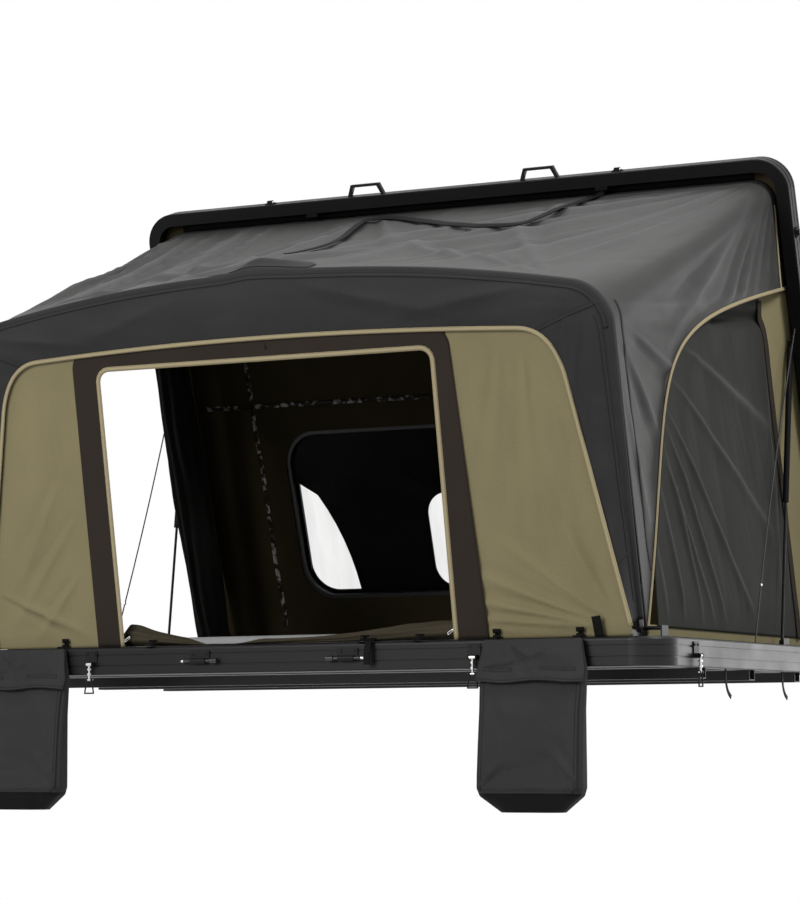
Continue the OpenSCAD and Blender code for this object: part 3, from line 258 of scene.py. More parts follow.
# Fittings: pressed and welded steel brackets, handles, keepers and hinge leaves in black coat.
# They are screwed or riveted to the rails.
fitting_black = coated("fitting_black", (0.008, 0.008, 0.008), 0.4, specular_ior_level=0.14)
dress(["base_hinge_leaves", "lid_hinge_leaves", "lid_handle_left", "lid_handle_right", "latch_keepers",
       "latch_plates", "ladder_brackets", "hoop_brackets", "strut_brackets_base", "strut_brackets_lid"],
      fitting_black)

# Latches, hinge pins and gas struts: zinc plated pins and draw bolts, left bright.
# The strut rods and the latch loops are blackened, and the strut tubes are painted black.
PLATED = (0.62, 0.62, 0.6)
bright_steel = material("bright_steel", PLATED, 0.24, metallic=1)
latches = [f"{a}_{b}" for a in ("front", "end") for b in ("left", "right")]
dress(["hinge_pins"] + [f"latch_lever_{k}" for k in latches], bright_steel)
dress([f"latch_bail_{k}" for k in latches] + ["strut_rod_left", "strut_rod_right"], fitting_black)
dress(["strut_tube_left", "strut_tube_right"], trim_black)

# Ladder pins: steel rods dipped in black, sliding in their brackets.
# Each has its outer nose left bare and bright.
def math_node(tree, operation, second=None):
    n = tree.nodes.new("ShaderNodeMath")
    n.operation = operation
    if second is not None:
        n.inputs[1].default_value = second
    return n


PIN_NOSE, PIN_BLACK = 0.009, (0.012, 0.012, 0.012)
for side, end in (("left", 0), ("right", 1)):
    pin = material(f"ladder_pin_{side}", PIN_BLACK, 0.32)
    tree = pin.node_tree
    split = node(tree, "SeparateXYZ")
    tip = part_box(f"ladder_pin_{side}")[end][0]
    nose = math_node(tree, "GREATER_THAN" if end else "LESS_THAN", tip + (-PIN_NOSE if end else PIN_NOSE))
    wire(tree, (node(tree, "TexCoord"), "Object", split, "Vector"), (split, "X", nose, 0),
         (nose, 0, tree.nodes["Principled BSDF"], "Metallic"))
    paint(pin, mix_colors(tree, nose.outputs[0], PIN_BLACK, PLATED))
    dress([f"ladder_pin_{side}"], pin)

# Strap buckles: moulded black ladder locks.
# They are fixed to the lid's near rail, and the closing strap runs from one of them.
dress(["strap_buckles"], trim_black)

# Hoop: bent aluminium tube in a grey anodised finish.
# It is plugged together at its joints and turns on pins in its foot brackets.
hoop_grey = material("hoop_grey", (0.11, 0.11, 0.115), 0.3, metallic=0.7)
dress(["hoop"], hoop_grey)

# Mattress: a foam slab in a pale grey cover with rounded edges, filling the base inside the walls.
# Its cover is plain woven, like all the cloth here. The tone drifts, and packing leaves small creases.
weave_group, gin, gout = node_group(
    "cloth_weave", [("Place", VECTOR), ("Tone A", COLOR), ("Tone B", COLOR), ("Pitch", FLOAT),
                    ("Crease", FLOAT), ("Depth", FLOAT)], [("Color", COLOR), ("Normal", VECTOR)])
warp, weft = (node(weave_group, "TexWave") for _ in range(2))
warp.bands_direction, weft.bands_direction = "X", "Y"
threads = math_node(weave_group, "MULTIPLY")
drift = node(weave_group, "TexNoise", scale=5, detail=6)
crumple = node(weave_group, "TexNoise", detail=3, distortion=0.6)
crumple.noise_type = "RIDGED_MULTIFRACTAL"
slub = node(weave_group, "TexNoise", scale=210, detail=2)
shift = math_node(weave_group, "SUBTRACT", 0.45)
uneven = math_node(weave_group, "MULTIPLY_ADD", 0.9)
soft = node(weave_group, "Bump", strength=0.5)
grain = node(weave_group, "Bump", strength=0.35, distance=0.0004)
for tex in (warp, weft, drift, crumple, slub):
    wire(weave_group, (gin, "Place", tex, "Vector"))
wire(weave_group, (gin, "Pitch", warp, "Scale"), (gin, "Pitch", weft, "Scale"),
     (gin, "Crease", crumple, "Scale"), (gin, "Depth", soft, "Distance"),
     (warp, "Fac", threads, 0), (weft, "Fac", threads, 1),
     (drift, "Fac", shift, 0), (slub, "Fac", uneven, 0), (shift, 0, uneven, 2),
     (crumple, "Fac", soft, "Height"), (threads, "Value", grain, "Height"),
     (soft, "Normal", grain, "Normal"), (grain, "Normal", gout, "Normal"))
tones = mix_colors(weave_group, uneven.outputs[0], gin.outputs["Tone A"], gin.outputs["Tone B"])
weave_group.links.new(tones, gout.inputs["Color"])


def cloth(name, color, rough, spread=0.12, pitch=260, crease=14, depth=0.003, gloss=0.2):
    m = material(name, color, rough, specular_ior_level=gloss)
    dark, light = ([c * k for c in color] + [1] for k in (1 - spread, 1 + spread))
    return use_group(m, weave_group, "UV", ("Color", "Normal"), tone_a=dark, tone_b=light, pitch=pitch,
                     crease=crease, depth=depth)


FLOOR_TOP, FOAM_LENGTH, FOAM_WIDTH, FOAM_HEIGHT, FOAM_EDGE = 0.052, 1.814, 1.304, 0.075, 0.02
mattress_cloth = cloth("mattress_cloth", (0.34, 0.34, 0.335), 0.85, depth=0.001)
bm = bmesh.new()
bmesh.ops.create_cube(bm, size=1)
bmesh.ops.scale(bm, verts=bm.verts, vec=(FOAM_LENGTH, FOAM_WIDTH, FOAM_HEIGHT))
bmesh.ops.translate(bm, verts=bm.verts, vec=(0, 0, FLOOR_TOP + FOAM_HEIGHT / 2))
bmesh.ops.bevel(bm, geom=bm.edges[:], offset=FOAM_EDGE, segments=5, profile=0.5, affect="EDGES",
                 material=-1)
mattress = add_object("mattress_cover", mesh_from(bm, "mattress_cover"), mattress_cloth)
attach(mattress, "base")
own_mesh(mattress)
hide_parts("mattress")

# Lid lining: brown cloth stretched under the panel, cut out for the window. A black strip along its near edge
# is painted shadow under the rail.
# Its seams are closed with silvery tape, drawn as broken pale lines inside: the pale bits are painted
# highlights.
def thicken(ob, thick):
    skin = ob.modifiers.new("thickness", "SOLIDIFY")
    skin.thickness = thick
    skin.offset = 0
    return ob


def cloth_sheet(name, across, along, place, flat, mat, thick=0.0012):
    """A rectangle of cloth of the flat size, laid out by place(s, t)."""
    bm = bmesh.new()
    uv = bm.loops.layers.uv.new("flat")
    bmesh.ops.create_grid(bm, x_segments=across, y_segments=along, size=0.5)
    spots = {v: (v.co.x + 0.5, v.co.y + 0.5) for v in bm.verts}
    for v, (s, t) in spots.items():
        v.co = place(s, t)
    for face in bm.faces:
        for loop in face.loops:
            s, t = spots[loop.vert]
            loop[uv].uv = (s * flat[0], t * flat[1])
    return thicken(add_object(name, mesh_from(bm, name), mat), thick)


def ribbon(name, route, facing, width, mat, steps, lift=0.0, dome=0.0, across=4, thick=0.001):
    """A strip of tape laid along route(t), its face towards facing(t)."""
    length = sum((route((i + 1) / 100) - route(i / 100)).length for i in range(100))

    def place(s, t):
        ahead = (route(min(1, t + 0.004)) - route(max(0, t - 0.004))).normalized()
        face = facing(t).normalized()
        side = ahead.cross(face).normalized()
        return route(t) + side * (s - 0.5) * width + face * (lift + dome * (1 - (2 * s - 1) ** 2))

    return cloth_sheet(name, across, steps, place, (width, length), mat, thick)


LINING_HEIGHT, TAPE_HEIGHT, SHADOW_STRIP_HEIGHT = 0.0422, 0.0405, 0.0393
TAPE_WIDTH, SHADOW_STRIP_WIDTH, SHADOW_STRIP_HALF = 0.014, 0.026, 0.94


def rounded_loop(bm, half_x, w_mid, half_w, radius):
    """A rectangle with rounded corners, drawn on the lining."""
    ring = bmesh.ops.create_circle(bm, segments=48, radius=1)["verts"]
    for v in ring:
        x = math.copysign(half_x - radius, v.co.x) + radius * v.co.x
        w = math.copysign(half_w - radius, v.co.y) + radius * v.co.y
        v.co = lid_point(x, w_mid + w, LINING_HEIGHT)
    return [e for e in bm.edges if e.verts[0] in ring and e.verts[1] in ring]


lining_cloth = cloth("lining_cloth", (0.04, 0.031, 0.016), 0.8, spread=0.35, crease=3, depth=0.012,
                     gloss=0.06)
bm = bmesh.new()
outer = rounded_loop(bm, 1.011, 0.728, 0.681, 0.056)
inner = rounded_loop(bm, 0.707, 0.455, 0.272, 0.112)
bmesh.ops.bridge_loops(bm, edges=outer + inner)
uv = bm.loops.layers.uv.new("flat")
for face in bm.faces:
    for loop in face.loops:
        loop[uv].uv = (loop.vert.co.x, loop.vert.co.z)
lining = add_object("lid_lining_cloth", mesh_from(bm, "lid_lining_cloth", smooth=False), lining_cloth)
thicken(lining, 0.0016)
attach(lining, "lid")
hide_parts("lid_lining")

seam_tape = material("seam_tape", (0.3, 0.3, 0.29), 0.4, specular_ior_level=0.1)
tape_glints = node(seam_tape.node_tree, "TexNoise", scale=55, detail=4)
cutoff = node(seam_tape.node_tree, "MapRange", from_min=0.5, from_max=0.62)
wire(seam_tape.node_tree, (node(seam_tape.node_tree, "TexCoord"), "Object", tape_glints, "Vector"),
     (tape_glints, "Fac", cutoff, "Value"))
# Painted highlights: the tape is pale only in broken patches, and as dark as the lining between them.
TAPE_BETWEEN_GLINTS, TAPE_GLINT = (0.02, 0.016, 0.009), (0.42, 0.41, 0.38)
paint(seam_tape, mix_colors(seam_tape.node_tree, cutoff.outputs["Result"], TAPE_BETWEEN_GLINTS, TAPE_GLINT))
tape_runs = [((-0.795, 0.1), (-0.795, 1.38)), ((0.795, 0.1), (0.795, 1.38)), ((-0.98, 0.815), (0.98, 0.815))]
for i, ((x0, w0), (x1, w1)) in enumerate(tape_runs):
    head, foot = lid_point(x0, w0, TAPE_HEIGHT), lid_point(x1, w1, TAPE_HEIGHT)

    def wavy_seam(t):
        return head.lerp(foot, t) + Vector((0.004 * noise.noise((9 * t, i, 0)), 0, 0))

    tape = ribbon(f"lining_tape_{i}", wavy_seam, lambda t: -Vector(LID_NORMAL), TAPE_WIDTH, seam_tape, 80,
                  across=2, thick=0.0004)
    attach(tape, "lid")
webbing = cloth("webbing", (0.005, 0.005, 0.005), 0.6, pitch=120, gloss=0.06)
# Painted shadow: a black strip where the rail shades the fly's top edge.
lid_edge_shadow = ribbon("lid_edge_shadow_strip",
                     lambda t: lid_point(SHADOW_STRIP_HALF * (2 * t - 1), 1.396, SHADOW_STRIP_HEIGHT),
                     lambda t: -Vector(LID_NORMAL), SHADOW_STRIP_WIDTH, webbing, 40, across=2, thick=0.0008)
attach(lid_edge_shadow, "lid")

# Fly roof and end gores: one sheet of coated grey polyester stretched from the hoop to the lid.
# It sags between them, and tension folds fan out of the lid corners and the hoop corners.
# The crests of the folds are painted pale, as highlights.
def fold(x, y, folds, groove=0.5, lean=1):
    """Height of a set of tension folds: each runs from one point to another and widens on the way."""
    total = 0
    for x0, y0, x1, y1, width, height in folds:
        dx, dy = x1 - x0, y1 - y0
        q = ((x - x0) * dx + (y - y0) * dy) / (dx * dx + dy * dy)
        if 0 < q < 1:
            off = ((x - x0) * dy - (y - y0) * dx) / math.hypot(dx, dy) / (width * (0.3 + 0.7 * q))
            off *= lean if off < 0 else 1 / lean
            if abs(off) < 4:
                crest = math.exp(-1.3 * abs(off) ** 1.4) - groove * math.exp(-(off - 1.7) ** 2)
                total += height * math.sin(math.pi * q) ** 0.7 * crest
    return total


def crinkle(a, b, seed):
    """Small sharp creases, drawn out along the second direction."""
    coarse, fine = abs(noise.noise((7 * a, 1.6 * b, seed))), abs(noise.noise((19 * a, 5 * b, seed)))
    return 0.012 * (coarse - 0.25) + 0.004 * (fine - 0.25)


def ease(f):
    f = min(1, max(0, f))
    return f * f * (3 - 2 * f)


def slack(f, rise, fall):
    """How freely cloth moves at f of its way: not at all at its two edges, fully away from them."""
    return min(1, rise * f, fall * (1 - f))


def thin(folds, share):
    return [(x0, y0, x1, y1, width * share, 1) for x0, y0, x1, y1, width, _ in folds]


def paint_crest_highlights(ob, tone, height_at):
    """Painted highlights: pale lines along the crests of the folds, held in a point attribute."""
    highlight_attr = ob.data.attributes.new("crest", "FLOAT", "POINT")
    for v, spot in zip(ob.data.vertices, highlight_attr.data):
        spot.value = min(1, height_at(v.co))
    m = ob.data.materials[0]
    mask = node(m.node_tree, "Attribute")
    mask.attribute_name = "crest"
    weave = m.node_tree.nodes["Principled BSDF"].inputs["Base Color"].links[0].from_socket
    paint(m, mix_colors(m.node_tree, mask.outputs["Fac"], weave, tone))


HOOP_LEAN = math.radians(13.5)
HOOP_SIN, HOOP_COS = math.sin(HOOP_LEAN), math.cos(HOOP_LEAN)
HOOP_Y, HOOP_Z = -0.624, 0.124
HOOP_HALF, HOOP_LEG, HOOP_BEND, HOOP_CROWN = 0.95, 0.772, 0.112, 4.5
HOOP_ALPHA = math.asin((HOOP_HALF - HOOP_BEND) / (HOOP_CROWN - HOOP_BEND))
FLY_FOOT = 0.024
# The cloth's way round the hoop, as shares: the crown ends at U_TOP and the bend at U_CORNER
U_TOP, U_CORNER = 0.42, 0.58
CLOTH_OFF = 0.0117
LID_FLAT, LID_TOP, LID_BEND, FLY_HEIGHT = 0.9017, 1.384, 0.06, 0.0398
WALL_X = LID_FLAT + LID_BEND


def hoop_point(x, s, out):
    """A point on the leaning hoop: s up from its foot pins, out to the front."""
    return Vector((x, HOOP_Y - s * HOOP_SIN - out * HOOP_COS, HOOP_Z + s * HOOP_COS - out * HOOP_SIN))


def round_hoop(u, turn):
    """A point of cloth on the hoop, u from the crown's middle to the foot, turned round the tube."""
    over, out = CLOTH_OFF * math.cos(turn), CLOTH_OFF * math.sin(turn)
    if u < U_TOP:
        a, r = HOOP_ALPHA * u / U_TOP, HOOP_CROWN + over
        low = HOOP_LEG - (HOOP_CROWN - HOOP_BEND) * math.cos(HOOP_ALPHA)
        return hoop_point(r * math.sin(a), low + r * math.cos(a), out)
    if u < U_CORNER:
        a = (math.pi / 2 - HOOP_ALPHA) * (1 - (u - U_TOP) / (U_CORNER - U_TOP))
        r = HOOP_BEND + over
        return hoop_point(HOOP_HALF - HOOP_BEND + r * math.cos(a), HOOP_LEG + r * math.sin(a), out)
    f = (u - U_CORNER) / (1 - U_CORNER)
    return hoop_point(HOOP_HALF + over, HOOP_LEG + (FLY_FOOT - HOOP_LEG) * f, out)


def under_lid(u):
    """The line along which the fly is fixed under the lid, from its middle round the corner."""
    if u < U_TOP:
        return lid_point(LID_FLAT * u / U_TOP, LID_TOP, FLY_HEIGHT)
    a = math.pi / 2 * (1 - (u - U_TOP) / (U_CORNER - U_TOP))
    x, w = LID_FLAT + LID_BEND * math.cos(a), LID_TOP - LID_BEND + LID_BEND * math.sin(a)
    return lid_point(x, w, FLY_HEIGHT)


# The side arch is a curve that these points pull into shape
ARCH = [Vector((WALL_X, y, z)) for y, z in (
    (-0.610, 0.112), (-0.3858, 0.8477), (-0.6634, 0.8811), (0.4378, 1.124))]


def arch_point(v):
    a, b, c, d = ARCH
    return (1 - v) ** 3 * a + 3 * v * (1 - v) ** 2 * b + 3 * v * v * (1 - v) * c + v ** 3 * d


# Start, end, width and height of each fold: in x and y on the roof, in y and z on the gores
MAIN_FOLDS = [
    (0.931, 0.338, 0.048, -0.619, 0.06, 0.018), (0.931, 0.338, 0.447, -0.821, 0.055, 0.015),
    (-0.865, 0.353, -0.722, -0.799, 0.05, 0.016), (-0.684, 0.353, -0.504, -0.749, 0.05, 0.015),
    (-0.228, 0.238, -0.304, -0.698, 0.07, 0.020), (0.29, -0.23, 0.124, -0.799, 0.08, 0.018),
    (-0.399, -0.842, 0.105, 0.0, 0.07, 0.012)]
SMALL_FOLDS = [
    (0.96, 0.34, 0.25, -0.75, 0.030, 0.011), (0.96, 0.34, -0.15, -0.42, 0.036, 0.008),
    (0.96, 0.34, 0.66, -0.86, 0.026, 0.010), (0.96, 0.34, 0.0, -0.1, 0.040, 0.006),
    (0.96, 0.34, -0.30, -0.22, 0.040, 0.006), (0.96, 0.34, 0.1, 0.12, 0.036, 0.005),
    (0.80, -0.84, 0.1, -0.35, 0.04, 0.010), (0.80, -0.84, 0.3, 0.05, 0.04, 0.008),
    (-0.96, 0.34, -0.90, -0.75, 0.020, 0.026), (-0.93, 0.35, -0.80, -0.70, 0.020, 0.026),
    (-0.80, 0.35, -0.64, -0.7, 0.022, 0.024), (-0.60, 0.35, -0.44, -0.6, 0.024, 0.020),
    (-0.90, 0.35, -0.93, -0.6, 0.018, 0.022), (-0.70, 0.35, -0.58, -0.55, 0.02, 0.020),
    (-0.80, -0.84, -0.25, -0.1, 0.04, 0.010), (-0.06, -0.84, 0.26, -0.3, 0.03, 0.008),
    (-0.06, -0.84, -0.40, -0.2, 0.03, 0.008), (-0.24, 0.32, 0.10, -0.30, 0.03, 0.010),
    (-0.24, 0.32, -0.42, -0.20, 0.03, 0.010), (0.42, 0.33, 0.36, 0.0, 0.035, 0.008)]
GORE_FOLDS = [
    (0.33, 1.42, -0.12, 0.90, 0.026, 0.010), (0.33, 1.42, 0.02, 0.95, 0.022, 0.012),
    (0.34, 1.42, 0.16, 1.02, 0.020, 0.012), (0.35, 1.42, 0.27, 1.06, 0.018, 0.010),
    (0.34, 1.42, 0.36, 1.09, 0.014, 0.008), (0.30, 1.42, -0.45, 0.85, 0.04, 0.010),
    (-0.83, 0.92, -0.30, 0.78, 0.03, 0.010), (-0.82, 0.90, -0.46, 0.60, 0.026, 0.010),
    (-0.82, 0.90, -0.56, 0.35, 0.022, 0.009), (-0.80, 0.82, -0.63, 0.25, 0.016, 0.007),
    (-0.82, 0.92, -0.1, 1.02, 0.04, 0.008)]
SAG, LUMP, LUMP_X = 0.026, 0.032, -0.05


def lump(x):
    """The height of the bump that a pole end makes under the cloth, just behind the middle of the hoop."""
    return LUMP * math.exp(-((x - LUMP_X) / (0.12 if x > LUMP_X else 0.05)) ** 2)


def flare(v):
    """The fly widens towards the lid."""
    return 1 + 0.036 * v ** 3


def roof_point(q, v):
    """A point of the fly between hoop (v = 0) and lid (v = 1), q from the left foot to the right foot."""
    u, side = abs(q), math.copysign(1, q)
    if u <= U_CORNER:
        p = round_hoop(u, 0).lerp(under_lid(u), v)
        level = 1 - ease((u - U_TOP) / (U_CORNER - U_TOP))
        p.x *= side * flare(v)
        p.z -= level * SAG * math.sin(math.pi * v)
        p.z += level * slack(v, 8, 8) * fold(p.x, p.y, MAIN_FOLDS + SMALL_FOLDS)
        p.z += level * lump(p.x) * (0.4 + 0.6 * ease(v / 0.04)) * math.exp(-(max(0, v - 0.04) / 0.05) ** 2)
        p.z += level * slack(v, 10, 10) * crinkle(p.x - 0.35 * side * v, p.y, 3.1)
    else:
        t = (u - U_CORNER) / (1 - U_CORNER)
        leg, lid = round_hoop(u, 0), lid_point(WALL_X, LID_TOP - LID_BEND - 0.258 * t, FLY_HEIGHT)
        ridge = round_hoop(U_CORNER, 0).lerp(under_lid(U_CORNER), v)
        p = ridge * (1 - t) + arch_point(v) * t + leg * (1 - v) + lid * v
        p -= (round_hoop(U_CORNER, 0) * (1 - v) + under_lid(U_CORNER) * v) * (1 - t)
        p -= (round_hoop(1, 0) * (1 - v) + arch_point(1) * v) * t
        free = slack(v, 8, 8) * min(1, 6 * t) * ease(6 * (1 - t))
        relief = fold(p.y, p.z, GORE_FOLDS) - 0.006 + 0.6 * crinkle(p.z + 0.2 * p.y, p.y - p.z, 7.7)
        p.x = side * (p.x * flare(v) + free * relief)
    return p


fly_cloth = cloth("fly_cloth", (0.047, 0.047, 0.045), 0.46, spread=0.25, crease=6, depth=0.0022, gloss=0.11)
fly_roof = cloth_sheet("fly_roof", 340, 130, lambda s, t: roof_point(2 * s - 1, t), (3.5, 1.25), fly_cloth)
fold_with_lid(fly_roof)
ROOF_CRESTS, GORE_CRESTS, GORE_X = thin(MAIN_FOLDS + SMALL_FOLDS, 0.5), thin(GORE_FOLDS, 0.6), 0.935
# Painted highlights on the crests of the roof and gore folds.
paint_crest_highlights(fly_roof, (0.1, 0.1, 0.1), lambda p: 0.4 * (
    fold(p.x, p.y, ROOF_CRESTS, 0) if abs(p.x) < GORE_X else fold(p.y, p.z, GORE_CRESTS, 0)))
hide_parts("fly")

# Fly hood: the same cloth, coloured darker as painted shade, wrapped over the front of the hoop and drawn
# down to the piping over the doorway.
# Short folds pull towards its corners.
FRONT_LEAN = math.radians(10.5)
FRONT_TAN, FRONT_SIN, FRONT_COS = (f(FRONT_LEAN) for f in (math.tan, math.sin, math.cos))
FRONT_Y, RAIL_TOP = -0.694, 0.102
PIPE_HALF, PIPE_TOP, PIPE_SAG = 0.715, 0.9, 0.022
PIPE_LEG_X, PIPE_LEG_Z = 0.840, 0.730
HOOD_WRAP = 0.12


def front_point(x, z, out=0.0):
    """A point on the leaning front of the tent, or out in front of it."""
    return Vector((x, FRONT_Y - (z - RAIL_TOP) * FRONT_TAN - out * FRONT_COS, z - out * FRONT_SIN))


def pipe_z(x):
    return PIPE_TOP - PIPE_SAG * (x / PIPE_HALF) ** 2


def piping_xz(u):
    """The hood's lower edge: over the doorway, round the corner and down the leg."""
    if u < U_TOP:
        x = PIPE_HALF * u / U_TOP
        return x, pipe_z(x)
    if u < U_CORNER:
        f = (u - U_TOP) / (U_CORNER - U_TOP)
        a, b, c = (1 - f) ** 2, 2 * f * (1 - f), f * f
        return PIPE_HALF * a + 0.815 * b + PIPE_LEG_X * c, pipe_z(PIPE_HALF) * a + 0.872 * b + PIPE_LEG_Z * c
    f = (u - U_CORNER) / (1 - U_CORNER)
    return PIPE_LEG_X + 0.1177 * f, PIPE_LEG_Z - 0.602 * f


# The folds of the hood, in x and z
HOOD_FOLDS = [
    (0.84, 1.0, 0.35, 0.92, 0.03, 0.006), (0.86, 0.95, 0.80, 0.5, 0.02, 0.006),
    (0.90, 0.90, 0.88, 0.45, 0.02, 0.006), (-0.86, 0.95, -0.5, 0.9, 0.03, 0.006),
    (-0.88, 0.92, -0.84, 0.5, 0.02, 0.006), (-0.2, 1.04, -0.6, 0.9, 0.04, 0.006),
    (0.1, 1.03, 0.6, 0.9, 0.04, 0.006)]


def hood_point(q, v):
    """A point of the hood between hoop (v = 0) and piping (v = 1), q from the left foot to the right foot."""
    u, side = abs(q), math.copysign(1, q)
    if v < HOOD_WRAP:
        p = round_hoop(u, math.pi / 2 * v / HOOD_WRAP)
    else:
        f = (v - HOOD_WRAP) / (1 - HOOD_WRAP)
        p = round_hoop(u, math.pi / 2).lerp(front_point(*piping_xz(u), 0.0045), f)
        relief = 1.6 * fold(side * p.x, p.z, HOOD_FOLDS) + 0.9 * crinkle(p.z, side * p.x, 5.2)
        p.y -= math.sin(math.pi * f) * (0.012 + relief)
    p.x *= side
    p.z += 0.4 * lump(p.x) * max(0, 1 - v / 0.5) ** 1.5
    return p


# Painted shade: the hood cloth is a darker copy of the fly cloth.
hood_cloth_shaded = cloth("hood_cloth_shaded", (0.035, 0.035, 0.0345), 0.62, spread=0.25, crease=6, depth=0.0022,
                   gloss=0.06)
fly_hood = cloth_sheet("fly_hood", 300, 40, lambda s, t: hood_point(2 * s - 1, t), (3.5, 0.24), hood_cloth_shaded)
fold_with_lid(fly_hood)

# Fly seams: flat-felled seams with two rows of stitching, along the hoop and across the hood corners.
# The thread is darker than the cloth.
stitch_group, gin, gout = node_group("stitch_rows", [("Place", VECTOR), ("Width", FLOAT)], [("Mask", FLOAT)])
split = node(stitch_group, "SeparateXYZ")
row = math_node(stitch_group, "DIVIDE")
wire(stitch_group, (gin, "Place", split, "Vector"), (split, "X", row, 0), (gin, "Width", row, 1))
for operation, second in (("SUBTRACT", 0.5), ("ABSOLUTE", None), ("SUBTRACT", 0.32), ("ABSOLUTE", None),
                          ("LESS_THAN", 0.07)):
    step = math_node(stitch_group, operation, second)
    wire(stitch_group, (row, 0, step, 0))
    row = step
dash = math_node(stitch_group, "PINGPONG", 0.003)
long_enough = math_node(stitch_group, "LESS_THAN", 0.0022)
both = math_node(stitch_group, "MULTIPLY")
wire(stitch_group, (split, "Y", dash, 0), (dash, 0, long_enough, 0), (long_enough, 0, both, 0),
     (row, 0, both, 1), (both, 0, gout, "Mask"))


def stitched(name, color, thread, rough, width):
    m = use_group(material(name, color, rough, specular_ior_level=0.15), stitch_group, "UV", (), width=width)
    rows = m.node_tree.nodes["Group"]
    paint(m, mix_colors(m.node_tree, rows.outputs["Mask"], color, thread))
    return m


def skin_facing(point, q, v, out):
    """The outward direction of the fly at (q, v), on the side of out."""
    across = point(q + 0.004, v) - point(q - 0.004, v)
    along = point(q, min(1, v + 0.01)) - point(q, max(0, v - 0.01))
    face = across.cross(along).normalized()
    return face if face.dot(out) > 0 else -face


def skin_seam(name, point, path, out, width, mat, steps):
    """A seam laid on the roof or the hood along path(t)."""
    fold_with_lid(ribbon(name, lambda t: point(*path(t)), lambda t: skin_facing(point, *path(t), out),
                         width, mat, steps, lift=0.0014))


fly_seam = stitched("fly_seam", (0.03, 0.03, 0.03), (0.008, 0.008, 0.008), 0.65, 0.016)
# Painted shade: the hood's seams are darker than the fly's.
hood_seam_shaded = stitched("hood_seam_shaded", (0.024, 0.024, 0.024), (0.006, 0.006, 0.006), 0.65, 0.016)
RIGHT, FRONT = Vector((1, 0, 0)), Vector((0, -FRONT_COS, -FRONT_SIN))
skin_seam("fly_ridge_seam", hood_point, lambda t: (1.16 * t - 0.58, 0.16), Vector((0, -1, 0.2)), 0.014,
          hood_seam_shaded, 200)
for side, sx in SIDES:
    skin_seam(f"fly_seam_leg_front_{side}", hood_point, lambda t: (sx * (0.53 + 0.46 * t), 0.24), FRONT,
              0.012, hood_seam_shaded, 90)
    skin_seam(f"fly_seam_leg_end_{side}", roof_point, lambda t: (sx * (0.53 + 0.46 * t), 0.04 + 0.03 * t),
              Vector((sx, 0, 0.3)), 0.012, fly_seam, 90)
    skin_seam(f"fly_seam_corner_{side}", hood_point, lambda t: (sx * (0.46 + 0.05 * t), 0.97 - 0.83 * t),
              FRONT, 0.012, hood_seam_shaded, 40)
    skin_seam(f"fly_seam_hem_{side}", hood_point, lambda t: (sx * (0.9 - 0.002 * t), 0.14 + 0.83 * t), FRONT,
              0.008, hood_seam_shaded, 30)

# Ridge cap: a doubled patch of hood cloth, pointed at both ends.
# It is sewn over the bump beside the middle of the hoop.
CAP_LENGTH, CAP_WIDTH, CAP_START = 0.30, 0.12, -0.175


def cap_place(s, t):
    q = U_TOP * (CAP_START + CAP_LENGTH * s) / 0.86
    v = 0.002 + 0.10 * t * math.sin(math.pi * (0.06 + 0.88 * s)) ** 0.6
    return roof_point(q, v) + Vector((0, -0.001, 0.0022))


cap = fold_with_lid(cloth_sheet("fly_ridge_cap", 60, 20, cap_place, (CAP_LENGTH, CAP_WIDTH), hood_cloth_shaded))

# Piping: folded tan binding with a rounded face.
# It is sewn along the hood's edge, round the side arches and up the gore beside the lid.
piping_cloth = stitched("tan_piping", (0.40, 0.335, 0.2), (0.25, 0.2, 0.12), 0.8, 0.012)
hood_piping = ribbon("piping_hood", lambda t: hood_point(2 * t - 1, 1), lambda t: FRONT, 0.0115,
                     piping_cloth, 220, lift=0.003, dome=0.003, across=6)
fold_with_lid(hood_piping)
for side, sx in SIDES:
    arch_piping = ribbon(f"piping_arch_{side}", lambda t: roof_point(sx, t), lambda t: RIGHT * sx, 0.0105,
                         piping_cloth, 120, lift=0.002, dome=0.003, across=6)
    lid_piping = ribbon(f"piping_lid_{side}", lambda t: roof_point(sx * (0.6 + 0.4 * t), 0.985),
                        lambda t: RIGHT * sx, 0.01, piping_cloth, 40, lift=0.002, dome=0.002)
    fold_with_lid(arch_piping)
    fold_with_lid(lid_piping)

# Front walls: tan polycotton beside the doorway, hung from the hood and tucked behind the rail.
# Slack gathers in soft folds towards the sill.
EDGE_STEPS = 160


def wall_edge(z):
    """How far out the piping runs at height z."""
    for i in range(EDGE_STEPS):
        x0, z0 = piping_xz(1 - 0.8 * i / EDGE_STEPS)
        x1, z1 = piping_xz(1 - 0.8 * (i + 1) / EDGE_STEPS)
        if z <= z1:
            return x0 + (x1 - x0) * max(0, (z - z0) / max(z1 - z0, 1e-6))
    return x1


DOOR_MID, DOOR_HALF, SILL = -0.028, 0.5, 0.103
# The folds of the walls, in x and z
WALL_FOLDS = {
    "right": [(0.89, 0.125, 0.53, 0.20, 0.016, 0.011), (0.89, 0.125, 0.52, 0.155, 0.012, 0.010),
              (0.89, 0.13, 0.53, 0.27, 0.018, 0.009), (0.90, 0.14, 0.60, 0.36, 0.022, 0.008),
              (0.91, 0.15, 0.78, 0.40, 0.022, 0.008), (0.80, 0.112, 0.54, 0.125, 0.010, 0.008),
              (0.66, 0.84, 0.60, 0.45, 0.03, 0.006), (0.72, 0.82, 0.72, 0.45, 0.03, 0.006)],
    "left": [(-0.92, 0.26, -0.62, 0.13, 0.02, 0.009), (-0.66, 0.60, -0.86, 0.24, 0.03, 0.008),
             (-0.64, 0.46, -0.88, 0.15, 0.025, 0.008), (-0.65, 0.3, -0.80, 0.12, 0.02, 0.008),
             (-0.70, 0.82, -0.66, 0.4, 0.03, 0.006)]}
tan_cloth = cloth("tan_canvas", (0.254, 0.217, 0.119), 0.85, spread=0.13, crease=4, depth=0.0036, gloss=0.06)
